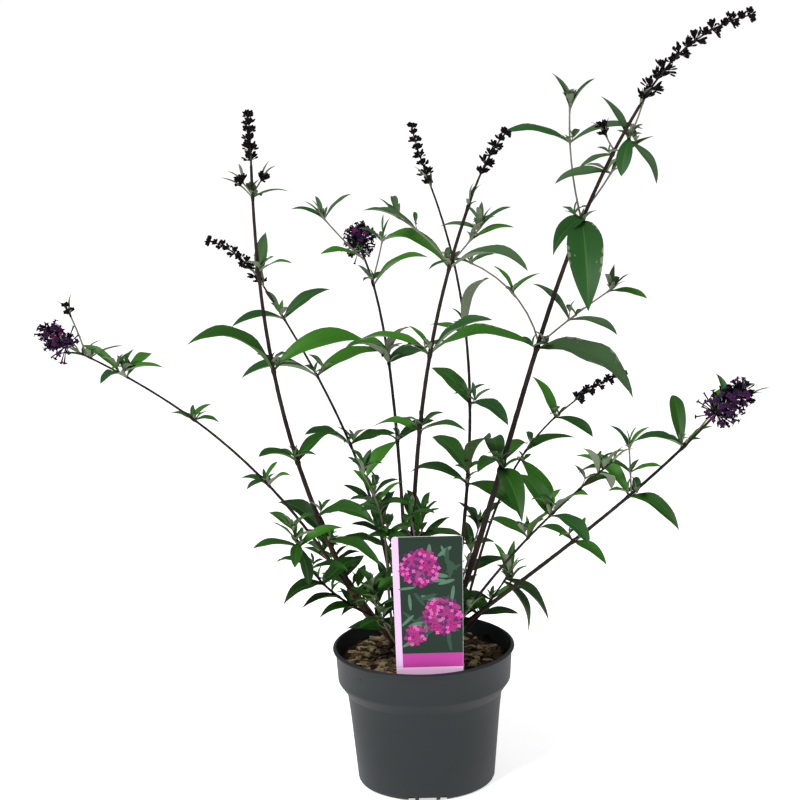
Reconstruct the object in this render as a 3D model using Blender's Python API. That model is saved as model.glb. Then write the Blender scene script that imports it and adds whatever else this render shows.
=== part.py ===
# A butterfly bush in a plastic nursery pot: the pot, its potting mix and plant label, the woody base,
# and the stems with their leafy shoots and flower heads.
# Metres, +Z up, origin at the centre of the pot's flat underside, +X to the right, +Y away from the front.
# Sizes below are in millimetres and degrees. A heading is a compass angle seen from above:
# 0 points right, 90 away, 180 left and 270 to the front. A lean is an angle from the vertical.

import math
import random
from collections import namedtuple

import bmesh
import bpy
from mathutils import Matrix, Vector
from mathutils.bvhtree import BVHTree

MM = 0.001
GAP = 0.3

# Pot
RIM_RADIUS = 95.0
POT_HEIGHT = 148.0
LIP_HEIGHT = 4.0
LIP_PROUD = 2.6
LIP_CORNER = 1.0
COLLAR_BOTTOM = 112.0
COLLAR_TAPER = 2.0
BODY_TOP = 98.6
BODY_TOP_RADIUS = 81.0
BASE_RADIUS = 72.0
BASE_CORNER = 4.0
WALL = 1.5
WALL_STEP = 0.4
FLOOR = 6.0
POT_SEGMENTS = 40
NOTCH_COUNT = 4
NOTCH_SIZE = (12.0, 40.0, 4.5)
NOTCH_RIB = (9.0, 4.0)
NOTCH_RIB_SPREAD = 11.0

# Potting mix
SOIL = 133.0
SOIL_SEGMENTS = 32
SOIL_CLEAR = 0.5
SOIL_FLAT = 46.0
SOIL_SHOULDER = 14.0
SOIL_ROUGH = 1.6

# Plant label: a tapered blade on a stake, just inside the front of the rim
LABEL_TOP = 291.0
LABEL_FOOT = 140.0
LABEL_TOP_WIDTH = 72.0
LABEL_FOOT_WIDTH = 68.0
LABEL_CENTRE_X = 5.5
LABEL_Y = -78.5
LABEL_THICKNESS = 1.0
LABEL_CORNER = 3.0
STAKE_WIDTH = 12.0
STAKE_DEPTH = 30.0
STAKE_POINT = 8.0
STAKE_NECK = 1.5
STAKE_PLAY = 0.4

# Woody base
BASE_LUMP = ((33.0, 25.0, 0.0), (29.0, 22.0, 6.0), (21.0, 16.0, 13.0), (10.0, 8.0, 18.0))
BASE_SIDES = 12
BASE_SWELL = ((3, 0.08, 1.0), (5, 0.05, 0.0))
SPUR_SIDES = 6
SPUR_ROOT = 0.24
SPUR_DEPTH = 7.0
SPUR_EXTRA = (1.8, 0.4)
SPUR_SHARE = 1.25
TUFT_GIRTH = 3.4
TUFT_RADIUS = 1.5
TUFT_SHRINK = 0.3
TUFT_LIFT = 6.0

# Limbs and shoots
HANDLE = 0.36
LIMB_SIDES = 6
SHOOT_SIDES = 5
TWIG_SIDES = 3
LIMB_STEP = 36.0
TWIG_STEP = 18.0
BEND_STEPS = 80
LEAST_GIRTH = 1.7
SHOOT_SWELL = 0.0016

# Leaves
LEAF_WIDTH = 0.27
BRACT_WIDTH = 0.11
LEAF_THICKNESS = 1 / 80
LEAST_THICKNESS = 0.9
LEAF_BEND = 30.0
BEND_LENGTH = 90.0
BEND_SHARE = (0.6, 1.2)
ARCH_STEPS = 8
ROOT_SUNK = 0.25
ROOT_BREADTH = 0.95
ROOT_DEPTH = 1.3
RIDGE_SHARE = (0.4, 0.6)
LEAF_TILT = 30.0
LEAF_STATIONS = (0.16, 0.52)
SMALL_LEAF_STATIONS = (0.42,)
SMALL_LEAF = 60.0
HEADING_SWAY = 4.0
RISE_SWAY = 3.0
ROLL_SWAY = 16.0
LENGTH_SWAY = 0.04
NUDGES = (0, 9, -9, 18, -18, 28, -28)

# Flower heads: bud clusters stand in pairs, each pair across the last, and florets stand in stars
BUD_REACH = 10.0
BUD_BREADTH = 4.0
BUD_SPACING = (11.0, 7.0)
FLORET_REACH = 17.0
FLORET_BREADTH = 6.0
FLORET_SPACING = 9.0
FLORETS = 5
AXIS_RADIUS = 1.1
STALK_RADIUS = 1.4
STALK_SHARE = 0.8
STALK_OVERLAP = 3.0
HEAD_SUNK = 2.0
HEAD_STEP = 14.0
HEAD_BEND = 1.6
STAR_TURN = 0.35
STAR_HEIGHT = 0.62
STAR_LIFT = 0.2
STAR_SWELL = (1.1, 0.45)

COLOURS = {
    "pot": (0.036, 0.041, 0.046, 1.0),
    "soil": (0.090, 0.060, 0.032, 1.0),
    "label": (0.290, 0.030, 0.150, 1.0),
    "wood": (0.070, 0.040, 0.024, 1.0),
    "leaf": (0.040, 0.110, 0.022, 1.0),
}

# A stem runs on one smooth bend from its foot to its tip. out and arrive are (heading, lean) at its two
# ends, girth its thickness there, and split the length of its bare limb. A pair row is (distance up the
# stem, heading of the first leaf, leaf length, rise of the first leaf, rise of the one opposite or None for
# a single leaf). Bracts are rows of the same kind for narrow leaves.
STEM_FIELDS = "name foot out tip arrive girth split pairs shoots head bracts"
Stem = namedtuple("Stem", STEM_FIELDS, defaults=((), None, ()))
# A side shoot sets out at a distance up its stem, with (lean, lean at its tip) and its own pairs.
Shoot = namedtuple("Shoot", "along heading lean length pairs head", defaults=((), None))
# A head is (kind, length, heading, lean at its tip, bare length below its flowers, size of its flowers).

STEMS = (
    Stem(
        "left_low", (-76, -32, 222), (180, 30), (-332, -100, 497), (190, 60), (3.4, 1.9), 128,
        ((142, 140, 38, 5, 30), (148, 230, 26, 0, 36), (250, 325, 34, 10, 4), (253, 40, 28, 20, None),
         (334, 248, 62, 8, 9), (342, 156, 50, 34, 10)),
        (Shoot(380, 180, (14, 22), 42, (), ("buds", 16, 170, 22, 3, 0.6)),),
        ("blossom", 44, 190, 34, 14, 1.0),
        ((376, 200, 36, 14, 10), (384, 30, 26, 30, None)),
    ),
    Stem(
        "left_tall", (-72, -19, 214), (140, 35), (-160, -20, 664), (235, 0), (5.4, 2.9), 42,
        ((57, 138, 82, 21, -9), (86, 322, 82, 6, None), (147, 230, 68, 19, 19), (249, 205, 112, 30, 12),
         (354, 84, 60, 34, None), (358, 318, 52, 22, None)),
        (Shoot(438, 205, (30, 40), 16, (), ("buds", 6, 205, 40, 2, 0.8)),
         Shoot(438, 25, (30, 40), 16, (), ("buds", 6, 25, 40, 2, 0.8))),
        ("buds", 54, 190, 4, 4, 1.0),
        ((436, 213, 44, 38, 4),),
    ),
    Stem(
        "left_thin", (-29, 16, 172), (100, 25), (-160, 160, 498), (135, 45), (3.6, 2.1), 172,
        ((189, 32, 60, 2, 25), (270, 203, 92, 5, 8), (342, 214, 70, 2, 25), (349, 130, 34, 38, None)),
        (),
        ("buds", 84, 182, 74, 4, 0.9),
    ),
    Stem(
        "centre_back", (-14, 16, 168), (95, 30), (-56, 220, 521), (105, 70), (4.4, 2.3), 172,
        ((190, 218, 56, -30, 14), (274, 229, 80, 26, -8), (280, 120, 66, 8, 48), (367, 342, 78, 31, None),
         (371, 128, 32, 30, None)),
        (Shoot(372, 34, (22, 14), 50, ((44, 160, 32, 30, 20),)),
         Shoot(404, 178, (46, 38), 70, ((10, 196, 46, 8, None), (64, 190, 40, 22, 40),
                                       (67, 110, 30, 44, None)))),
        ("blossom", 32, 60, 6, 6, 1.1),
    ),
    Stem(
        "centre", (-16, -6, 170), (30, 5), (56, -60, 630), (355, 20), (5.2, 3.2), 204,
        ((219, 142, 62, 2, 11), (304, 336, 86, 34, 4), (310, 150, 34, 40, None), (400, 143, 98, 14, 9),
         (408, 210, 28, -8, None)),
        (Shoot(403, 166, (34, 62), 74, ((70, 196, 42, 16, None), (72, 100, 40, 20, None),
                                       (48, 190, 46, 34, None))),
         Shoot(405, 8, (44, 38), 48, ((30, 8, 48, 16, None), (32, 300, 34, 40, None), (44, 172, 40, 8, 34),
                                     (47, 80, 30, 52, 56)))),
        ("buds", 82, 350, 42, 28, 0.95),
        ((466, 289, 30, -22, None),),
    ),
    Stem(
        "centre_thin", (32, 22, 168), (45, 12), (21, 140, 604), (140, 25), (4.2, 2.1), 128,
        ((142, 142, 76, 6, -14), (152, 118, 82, 20, 44), (226, 124, 75, 26, -4), (300, 145, 52, 3, None),
         (303, 299, 88, 53, None), (308, 200, 26, 58, None)),
        (),
        ("buds", 72, 186, 8, 4, 0.9),
    ),
    Stem(
        "right_tall", (38, -9, 196), (10, 20), (229, 0, 711), (320, 35), (6.6, 3.2), 130,
        ((146, 286, 82, -24, 14), (153, 240, 62, 7, 9), (277, 157, 128, -4, -22), (417, 268, 124, -38, None),
         (421, 232, 64, -28, None), (495, 200, 46, -18, None)),
        (Shoot(283, 172, (12, 76), 132, ((56, 170, 40, 58, None), (60, 24, 40, 28, None),
                                        (112, 196, 26, 10, 20))),
         Shoot(280, 4, (50, 58), 98, ((42, 150, 58, 40, -6), (92, 330, 44, -4, None), (94, 70, 30, 56, 50))),
         Shoot(417, 165, (14, -4), 124, ((82, 172, 80, 8, 12), (116, 160, 42, 66, 52))),
         Shoot(500, 190, (40, 20), 16, (), ("buds", 16, 190, 20, 2, 0.9)),
         Shoot(434, 350, (38, 18), 120, ((42, 188, 62, -4, 40), (80, 166, 56, 58, -56),
                                        (84, 250, 50, -46, None)))),
        ("buds", 158, 352, 78, 6, 1.25),
    ),
    Stem(
        "right_low", (41, -30, 178), (340, 50), (286, -160, 432), (310, 45), (4.8, 2.5), 142,
        ((157, 134, 50, 7, -15), (238, 306, 74, -16, 28), (322, 92, 68, 40, None), (326, 206, 60, 18, None),
         (329, 328, 36, 40, None)),
        (Shoot(242, 100, (10, 8), 50, ((22, 10, 34, 10, 24), (46, 160, 32, 54, 46))),
         Shoot(346, 10, (30, 82), 68, ((26, 60, 40, 30, None), (44, 20, 36, 30, None),
                                      (46, 120, 34, 54, None)))),
        ("blossom", 50, 352, 56, 4, 1.2),
    ),
    Stem(
        "right_front", (46, -34, 196), (300, 45), (185, -200, 401), (320, 50), (3.2, 1.8), 134,
        ((149, 138, 56, 12, 44), (193, 122, 72, 26, -8), (199, 304, 60, 34, None), (246, 36, 46, 8, None),
         (276, 244, 50, 44, -30), (286, 312, 38, 44, -20)),
    ),
    Stem(
        "right_back", (48, 14, 192), (35, 20), (172, 200, 351), (40, 70), (3.2, 1.8), 158,
        ((176, 306, 72, -42, None), (190, 20, 62, 5, None), (253, 142, 54, 58, -14)),
        (),
        ("buds", 74, 20, 80, 4, 0.8),
    ),
    Stem(
        "left_short", (-52, -36, 192), (178, 62), (-127, -140, 321), (255, 40), (3.0, 1.7), 14,
        ((22, 225, 50, 1, -51), (45, 223, 54, 2, None), (73, 228, 62, -1, 10), (110, 140, 50, 4, 10),
         (159, 200, 50, 4, 16), (166, 263, 44, -14, None), (160, 300, 42, -60, None),
         (196, 134, 38, 21, 40)),
    ),
    Stem(
        "right_short", (36, -14, 154), (340, 38), (92, -46, 242), (320, 36), (2.8, 1.8), 22,
        ((40, 14, 44, -4, 20), (64, 196, 38, 10, 16), (92, 348, 66, -66, None), (96, 338, 68, -46, None),
         (98, 150, 38, 66, None), (104, 60, 36, 66, 58)),
    ),
)

# A tuft is a short leafy shoot from the woody base. Its leaf pairs stand at even steps above its bare foot,
# each pair turned 90 degrees from the last; rise is that of the lowest and of the topmost pair.
Tuft = namedtuple("Tuft", "name foot out tip arrive turn pairs leaf bare rise")

TUFTS = (
    Tuft("left_inner", (-20, 30, 156), (125, 18), (-48, 66, 278), (200, 20), 186, 5, 64, 40, (-12, 40)),
    Tuft("left_front", (-24, -30, 152), (225, 36), (-52, -62, 226), (215, 20), 150, 4, 50, 34, (-8, 34)),
    Tuft("left_outer", (-38, 8, 156), (175, 30), (-104, 14, 246), (190, 40), 240, 5, 52, 40, (6, 34)),
    Tuft("centre_front", (-4, -22, 154), (270, 12), (-10, -38, 300), (180, 10), 350, 4, 64, 72, (-20, 14)),
    Tuft("centre_left", (-31, 4, 160), (210, 10), (-58, -36, 346), (200, 30), 150, 4, 44, 116, (10, 52)),
    Tuft("centre_rear", (4, 32, 154), (90, 16), (2, 66, 262), (80, 16), 40, 4, 58, 36, (-8, 50)),
    Tuft("right_inner", (30, 30, 154), (60, 18), (62, 74, 250), (40, 24), 100, 4, 56, 34, (-10, 50)),
    Tuft("right_low_front", (22, -26, 152), (290, 48), (48, -56, 206), (320, 40), 100, 3, 40, 30, (10, 40)),
)


def direction(heading, lean):
    """Unit vector for a heading and a lean from the vertical, both in degrees."""
    across = math.sin(math.radians(lean))
    turn = math.radians(heading)
    return Vector((across * math.cos(turn), across * math.sin(turn), math.cos(math.radians(lean))))


def bend_between(foot, out, tip, arrive):
    """A function of 0 to 1 that runs from foot to tip on one smooth bend."""
    start, end = Vector(foot), Vector(tip)
    reach = (end - start).length * HANDLE
    first = start + direction(*out) * reach
    second = end - direction(*arrive) * reach

    def at(t):
        u = 1 - t
        return start * u**3 + first * (3 * t * u * u) + second * (3 * t * t * u) + end * t**3

    return at


def arch(start, heading, lean, length, steps):
    """Points along a path whose lean changes evenly from lean[0] to lean[1]."""
    points = [Vector(start)]
    for step in range(steps):
        part = (step + 0.5) / steps
        lean_here = lean[0] + (lean[1] - lean[0]) * part
        points.append(points[-1] + direction(heading, lean_here) * (length / steps))
    return points


def along(points, distance):
    """The point and the direction at a distance along a path of points."""
    for a, b in zip(points, points[1:]):
        span = (b - a).length
        if distance <= span:
            return a + (b - a) * (distance / span), (b - a).normalized()
        distance -= span
    return points[-1].copy(), (points[-1] - points[-2]).normalized()


def path_length(points):
    return sum((b - a).length for a, b in zip(points, points[1:]))


def cut_path(points, start, end, steps):
    """Evenly spaced points of a path between two distances."""
    return [along(points, start + (end - start) * i / steps)[0] for i in range(steps + 1)]


def loft(rings, point=None):
    """A closed solid through rings of points, with a flat start and a flat end or a point."""
    sides = len(rings[0])
    verts = [corner for ring in rings for corner in ring]
    faces = [tuple(reversed(range(sides)))]
    for row in range(len(rings) - 1):
        low, high = row * sides, (row + 1) * sides
        for i in range(sides):
            j = (i + 1) % sides
            faces.append((low + i, low + j, high + j, high + i))
    last = (len(rings) - 1) * sides
    if point is None:
        faces.append(tuple(range(last, last + sides)))
    else:
        verts.append(point)
        faces += [(last + i, last + (i + 1) % sides, len(verts) - 1) for i in range(sides)]
    return verts, faces


def tube(points, start, end, steps, radii, sides):
    """A tapering round bar along a path between two distances, with square ends."""
    rings = []
    side = direction(0, 90)
    for i in range(steps + 1):
        place, way = along(points, start + (end - start) * i / steps)
        side = (side - way * side.dot(way)).normalized()
        up = way.cross(side)
        radius = radii[0] + (radii[1] - radii[0]) * i / steps
        turns = [2 * math.pi * k / sides for k in range(sides)]
        rings.append([place + (side * math.cos(a) + up * math.sin(a)) * radius for a in turns])
    return outward(loft(rings))


def starred(points, levels, spikes, spacing, reach, breadth):
    """A closed axis with a flat star of spikes at every level, each turned half a step from the last."""
    length = path_length(points)
    side = along(points, 0)[1].orthogonal()
    turns = [math.pi * k / spikes + STAR_TURN for k in range(2 * spikes)]
    rings = []
    distance = 0.0
    for level in range(levels + 1):
        part = level / levels
        place, way = along(points, distance)
        side = (side - way * side.dot(way)).normalized()
        arms = [Matrix.Rotation(turn, 3, way) @ side for turn in turns]
        rings.append([place + arm * AXIS_RADIUS for arm in arms])
        if level == levels:
            break
        step = (spacing[0] + (spacing[1] - spacing[0]) * part) * length / spacing_sum(levels, spacing)
        top = along(points, distance + step * STAR_HEIGHT)[0]
        swell = STAR_SWELL[0] - STAR_SWELL[1] * part
        tips = []
        for k, arm in enumerate(arms):
            spike = (k + level) % 2 == 0
            out = arm * ((reach if spike else breadth) * swell)
            tips.append(top + out + way * (step * STAR_LIFT * spike))
        rings.append(tips)
        distance += step
    return outward(loft(rings, points[-1] + way * 2))


def spacing_sum(levels, spacing):
    return sum(spacing[0] + (spacing[1] - spacing[0]) * level / levels for level in range(levels))


def leaf_outline(t):
    """Half width of a lance-shaped leaf at 0 to 1 of its length, with 1 at its widest."""
    return t**1.2 * (1 - t) ** 1.45 / 0.1613


def leaf_solid(base, heading, rise, length, width, roll, extra=0.0):
    """A thin blade with a ridge below that arches from its root, which starts inside its stem."""
    bend = LEAF_BEND * min(BEND_SHARE[1], max(BEND_SHARE[0], length / BEND_LENGTH))
    spine = arch(base, heading, (90 - rise - bend, 90 - rise + bend), length, ARCH_STEPS)
    tilt = Matrix.Rotation(math.radians(roll), 3, direction(heading, 90 - rise))
    side = tilt @ direction(heading + 90, 90)
    stations = LEAF_STATIONS if length > SMALL_LEAF else SMALL_LEAF_STATIONS
    thickness = max(LEAST_THICKNESS, length * LEAF_THICKNESS) + extra
    rings = []
    for t in (0.0,) + stations:
        place, way = along(spine, length * t)
        up = way.cross(side).normalized()
        half = max(ROOT_BREADTH, width * 0.5 * leaf_outline(t)) + extra
        depth = ROOT_DEPTH if t == 0.0 else thickness
        place -= way * (ROOT_SUNK if t == 0.0 else 0.0)
        top = up * (depth * RIDGE_SHARE[0])
        ridge = place - up * (depth * RIDGE_SHARE[1])
        rings.append([place + side * half + top, place - side * half + top, ridge])
    solid = loft(rings, along(spine, length)[0])
    return outward(solid)


def outward(solid):
    """The same solid with its faces turned to point out."""
    verts, faces = solid
    volume = 0.0
    for face in faces:
        for i in range(1, len(face) - 1):
            a, b, c = verts[face[0]], verts[face[i]], verts[face[i + 1]]
            volume += a.dot(b.cross(c))
    return (verts, faces) if volume > 0 else (verts, [tuple(reversed(face)) for face in faces])


def tree_of(solid):
    return BVHTree.FromPolygons([tuple(v) for v in solid[0]], solid[1])


class Garden:
    """The solids grown so far, by node, so that a new one can be kept clear of the others."""

    def __init__(self):
        self.trees = {}

    def add(self, node, solid):
        self.trees.setdefault(node, []).append(tree_of(solid))

    def clear_of_others(self, node, solid):
        tree = tree_of(solid)
        for other, trees in self.trees.items():
            if other != node and any(tree.overlap(each) for each in trees):
                return False
        return True


def grow_leaf(garden, node, base, heading, rise, length, ratio, rng):
    """A leaf with a little seeded variety, turned aside where it would touch another node, or None."""
    heading += rng.uniform(-HEADING_SWAY, HEADING_SWAY)
    rise += rng.uniform(-RISE_SWAY, RISE_SWAY)
    roll = LEAF_TILT * direction(heading + 90, 90).y + rng.uniform(-ROLL_SWAY, ROLL_SWAY)
    length *= rng.uniform(1 - LENGTH_SWAY, 1 + LENGTH_SWAY)
    for nudge in NUDGES:
        size = (base, heading + nudge, rise, length, length * ratio, roll)
        if garden.clear_of_others(node, leaf_solid(*size, extra=GAP)):
            return leaf_solid(*size)
    return None


def grow_pairs(garden, node, points, pairs, ratio, rng):
    """The leaves of every pair row, as solids."""
    grown = []
    for distance, heading, length, rise, other_rise in pairs:
        base = along(points, distance)[0]
        turns = [(heading, rise)] if other_rise is None else [(heading, rise), (heading + 180, other_rise)]
        for turn, lift in turns:
            leaf = grow_leaf(garden, node, base, turn, lift, length, ratio, rng)
            if leaf:
                grown.append(leaf)
    return grown


def grow_head(start, way, head, girth):
    """The solids of a head that goes on from the end of a shoot: a bare stalk and the flowers on it."""
    if head is None:
        return []
    kind, length, heading, lean, bare, size = head
    lean_now = math.degrees(math.acos(max(-1.0, min(1.0, way.z))))
    heading_now = math.degrees(math.atan2(way.y, way.x))
    turned = (heading - heading_now + 180) % 360 - 180
    points = [start - way * HEAD_SUNK]
    steps = max(4, round(length / HEAD_STEP))
    for step in range(steps):
        part = ((step + 0.5) / steps) ** HEAD_BEND
        aim = direction(heading_now + turned * part, lean_now + (lean - lean_now) * part)
        points.append(points[-1] + aim * ((length + HEAD_SUNK) / steps))
    stalk_steps = max(1, round(bare / HEAD_STEP))
    stalk = tube(points, 0, bare + STALK_OVERLAP, stalk_steps, (girth / 2, STALK_RADIUS), TWIG_SIDES)
    flowers = cut_path(points, bare, length + HEAD_SUNK, steps)
    if kind == "buds":
        shape = (2, BUD_SPACING, BUD_REACH * size, BUD_BREADTH * size)
    else:
        shape = (FLORETS, (FLORET_SPACING, FLORET_SPACING), FLORET_REACH * size, FLORET_BREADTH * size)
    levels = max(2, round((length - bare) * 2 / (sum(shape[1]) * size)))
    return [stalk, starred(flowers, levels, *shape)]


def material(name):
    """A plain Principled material in the part's own colour."""
    made = bpy.data.materials.new(name)
    made.use_nodes = True
    shader = made.node_tree.nodes["Principled BSDF"]
    shader.inputs["Base Color"].default_value = COLOURS[name]
    shader.inputs["Roughness"].default_value = 0.55
    shader.inputs["Metallic"].default_value = 0.0
    return made


def new_object(name, solid, paint, smooth=True):
    """A mesh object made from points in millimetres."""
    mesh = bpy.data.meshes.new(name)
    mesh.from_pydata([tuple(v * MM for v in corner) for corner in solid[0]], [], solid[1])
    mesh.materials.append(paint)
    if smooth:
        mesh.shade_smooth()
        mesh.set_sharp_from_angle(angle=math.radians(40))
    obj = bpy.data.objects.new(name, mesh)
    bpy.context.scene.collection.objects.link(obj)
    return obj


def into_face(face, edge):
    """The direction from an edge into one of its faces, in the face's plane."""
    loop = next(each for each in face.loops if each.edge == edge)
    return face.normal.cross(loop.link_loop_next.vert.co - loop.vert.co).normalized()


def neighbours(face):
    """The faces that share an edge and the same open space with a face."""
    for edge in face.edges:
        others = [other for other in edge.link_faces if other != face]
        if len(others) > 1:
            start = into_face(face, edge)
            turns = [into_face(other, edge) for other in others]
            angles = [math.atan2(turn.dot(face.normal), turn.dot(start)) % (2 * math.pi) for turn in turns]
            others = [others[angles.index(min(angles))]]
        yield from others


def bodies_of(bm):
    """The faces of each closed surface, with the volume it holds, which is negative for a sealed hollow."""
    left = set(bm.faces)
    found = []
    while left:
        queue = [left.pop()]
        body = list(queue)
        while queue:
            for face in neighbours(queue.pop()):
                if face in left:
                    left.remove(face)
                    queue.append(face)
                    body.append(face)
        volume = 0.0
        for face in body:
            a, b, c = (v.co for v in face.verts)
            volume += a.dot(b.cross(c)) / 6
        found.append((volume, body))
    return sorted(found, key=lambda each: -each[0])


def fuse(name, solids, paint):
    """One closed body from overlapping solids, by one union on a collection."""
    base = new_object(name, solids[0], paint, smooth=False)
    group = bpy.data.collections.new(name + "_pieces")
    bpy.context.scene.collection.children.link(group)
    for i, solid in enumerate(solids[1:]):
        piece = new_object(f"{name}_piece_{i}", solid, paint, smooth=False)
        bpy.context.scene.collection.objects.unlink(piece)
        group.objects.link(piece)
    union = base.modifiers.new("fuse", "BOOLEAN")
    union.operation = "UNION"
    union.operand_type = "COLLECTION"
    union.collection = group
    union.solver = "MANIFOLD"
    graph = bpy.context.evaluated_depsgraph_get()
    fused = bpy.data.meshes.new_from_object(base.evaluated_get(graph))
    base.modifiers.remove(union)
    for piece in list(group.objects):
        bpy.data.objects.remove(piece, do_unlink=True)
    bpy.data.collections.remove(group)

    bm = bmesh.new()
    bm.from_mesh(fused)
    bmesh.ops.triangulate(bm, faces=bm.faces)
    bm.normal_update()
    spare = [face for volume, body in bodies_of(bm)[1:] for face in body]
    bmesh.ops.delete(bm, geom=spare, context="FACES")
    bm.to_mesh(base.data)
    bm.free()
    base.data.shade_smooth()
    base.data.set_sharp_from_angle(angle=math.radians(40))
    return base


def turned(profile, segments):
    """A solid of revolution from (radius, height) pairs that start and end on the axis."""
    verts = []
    rows = []
    for radius, height in profile:
        if radius == 0:
            rows.append([len(verts)] * segments)
            verts.append(Vector((0, 0, height)))
            continue
        rows.append(list(range(len(verts), len(verts) + segments)))
        for k in range(segments):
            angle = 2 * math.pi * k / segments
            verts.append(Vector((radius * math.cos(angle), radius * math.sin(angle), height)))
    faces = []
    for low, high in zip(rows, rows[1:]):
        for k in range(segments):
            j = (k + 1) % segments
            corners = [low[k], low[j], high[j], high[k]]
            face = tuple(dict.fromkeys(corners))
            faces.append(face)
    return outward((verts, faces))


def box(size, centre, heading=0.0):
    """A block, turned about the vertical through the origin."""
    x, y, z = (side / 2 for side in size)
    turn = Matrix.Rotation(math.radians(heading), 3, "Z")
    verts = [
        turn @ (Vector(centre) + Vector((sx * x, sy * y, sz * z)))
        for sz in (-1, 1)
        for sx, sy in ((-1, -1), (1, -1), (1, 1), (-1, 1))
    ]
    faces = [(3, 2, 1, 0), (4, 5, 6, 7), (0, 1, 5, 4), (1, 2, 6, 5), (2, 3, 7, 6), (3, 0, 4, 7)]
    return verts, faces


def cut(obj, solids):
    """Cuts closed solids out of an object."""
    for i, solid in enumerate(solids):
        cutter = new_object(f"{obj.name}_cutter_{i}", outward(solid), obj.data.materials[0], smooth=False)
        change = obj.modifiers.new("cut", "BOOLEAN")
        change.operation = "DIFFERENCE"
        change.object = cutter
        graph = bpy.context.evaluated_depsgraph_get()
        result = bpy.data.meshes.new_from_object(obj.evaluated_get(graph))
        obj.modifiers.remove(change)
        obj.data = result
        bpy.data.objects.remove(cutter, do_unlink=True)
    obj.data.shade_smooth()
    obj.data.set_sharp_from_angle(angle=math.radians(30))


def inner_wall(clear=0.0):
    """The pot's inner profile from the floor up, drawn in by a clearance."""
    inset = WALL + clear
    return [
        (BASE_RADIUS + WALL_STEP - inset, FLOOR + clear),
        (BODY_TOP_RADIUS - inset, BODY_TOP + WALL_STEP),
        (RIM_RADIUS - LIP_PROUD - COLLAR_TAPER - inset, COLLAR_BOTTOM + WALL_STEP),
        (RIM_RADIUS - LIP_PROUD - inset, POT_HEIGHT - LIP_HEIGHT),
    ]


def make_pot(paint):
    """The nursery pot: tapered body, stepped collar, small rolled lip and drainage notches."""
    outer = [(0, 0), (BASE_RADIUS - BASE_CORNER, 0)]
    for angle in (math.radians(45), math.radians(90)):
        outer.append((BASE_RADIUS - BASE_CORNER + BASE_CORNER * math.sin(angle),
                      BASE_CORNER - BASE_CORNER * math.cos(angle)))
    outer += [
        (BODY_TOP_RADIUS, BODY_TOP),
        (RIM_RADIUS - LIP_PROUD - COLLAR_TAPER, COLLAR_BOTTOM),
        (RIM_RADIUS - LIP_PROUD, POT_HEIGHT - LIP_HEIGHT),
        (RIM_RADIUS, POT_HEIGHT - LIP_HEIGHT + LIP_CORNER),
        (RIM_RADIUS, POT_HEIGHT - LIP_CORNER),
        (RIM_RADIUS - LIP_CORNER, POT_HEIGHT),
        (RIM_RADIUS - LIP_PROUD - LIP_CORNER, POT_HEIGHT),
    ]
    inner = [(radius, height) for radius, height in reversed(inner_wall())] + [(0, FLOOR)]
    pot = new_object("pot", turned(outer + inner, POT_SEGMENTS), paint)
    depth, width, height = NOTCH_SIZE
    rib_depth, rib_width = NOTCH_RIB
    middle = width - 2 * rib_width
    notches = []
    for k in range(NOTCH_COUNT):
        heading = 270 + 360 * k / NOTCH_COUNT
        ends = [-width / 2, -NOTCH_RIB_SPREAD - rib_width / 2, -NOTCH_RIB_SPREAD + rib_width / 2,
                NOTCH_RIB_SPREAD - rib_width / 2, NOTCH_RIB_SPREAD + rib_width / 2, width / 2]
        for a, b in zip(ends[::2], ends[1::2]):
            size = (depth, b - a, height * 2)
            notches.append(box(size, (BASE_RADIUS + 2 - depth / 2, (a + b) / 2, 0), heading))
    cut(pot, notches)
    return pot


def make_soil(paint):
    """The potting mix, level under the plant, rough towards the rim, with a slot for the label's stake."""
    wall = [(radius, height) for radius, height in inner_wall(SOIL_CLEAR) if height < SOIL]
    low, high = inner_wall(SOIL_CLEAR)[2:4]
    share = (SOIL - low[1]) / (high[1] - low[1])
    edge = low[0] + (high[0] - low[0]) * share
    rings = [edge, edge - SOIL_SHOULDER, SOIL_FLAT, 0]
    profile = [(0, FLOOR + SOIL_CLEAR)] + wall + [(radius, SOIL) for radius in rings]
    verts, faces = turned(profile, SOIL_SEGMENTS)
    rng = random.Random("soil")
    for corner in verts:
        radius = math.hypot(corner.x, corner.y)
        if corner.z == SOIL and radius > SOIL_FLAT + 1:
            corner.z += rng.uniform(-SOIL_ROUGH, SOIL_ROUGH * 0.6)
    soil = new_object("potting_mix", (verts, faces), paint)
    slot = (STAKE_WIDTH + 2 * GAP, LABEL_THICKNESS + 2 * GAP, 2 * (STAKE_DEPTH + GAP))
    cut(soil, [box(slot, (LABEL_CENTRE_X, LABEL_Y, SOIL))])
    return soil


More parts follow.
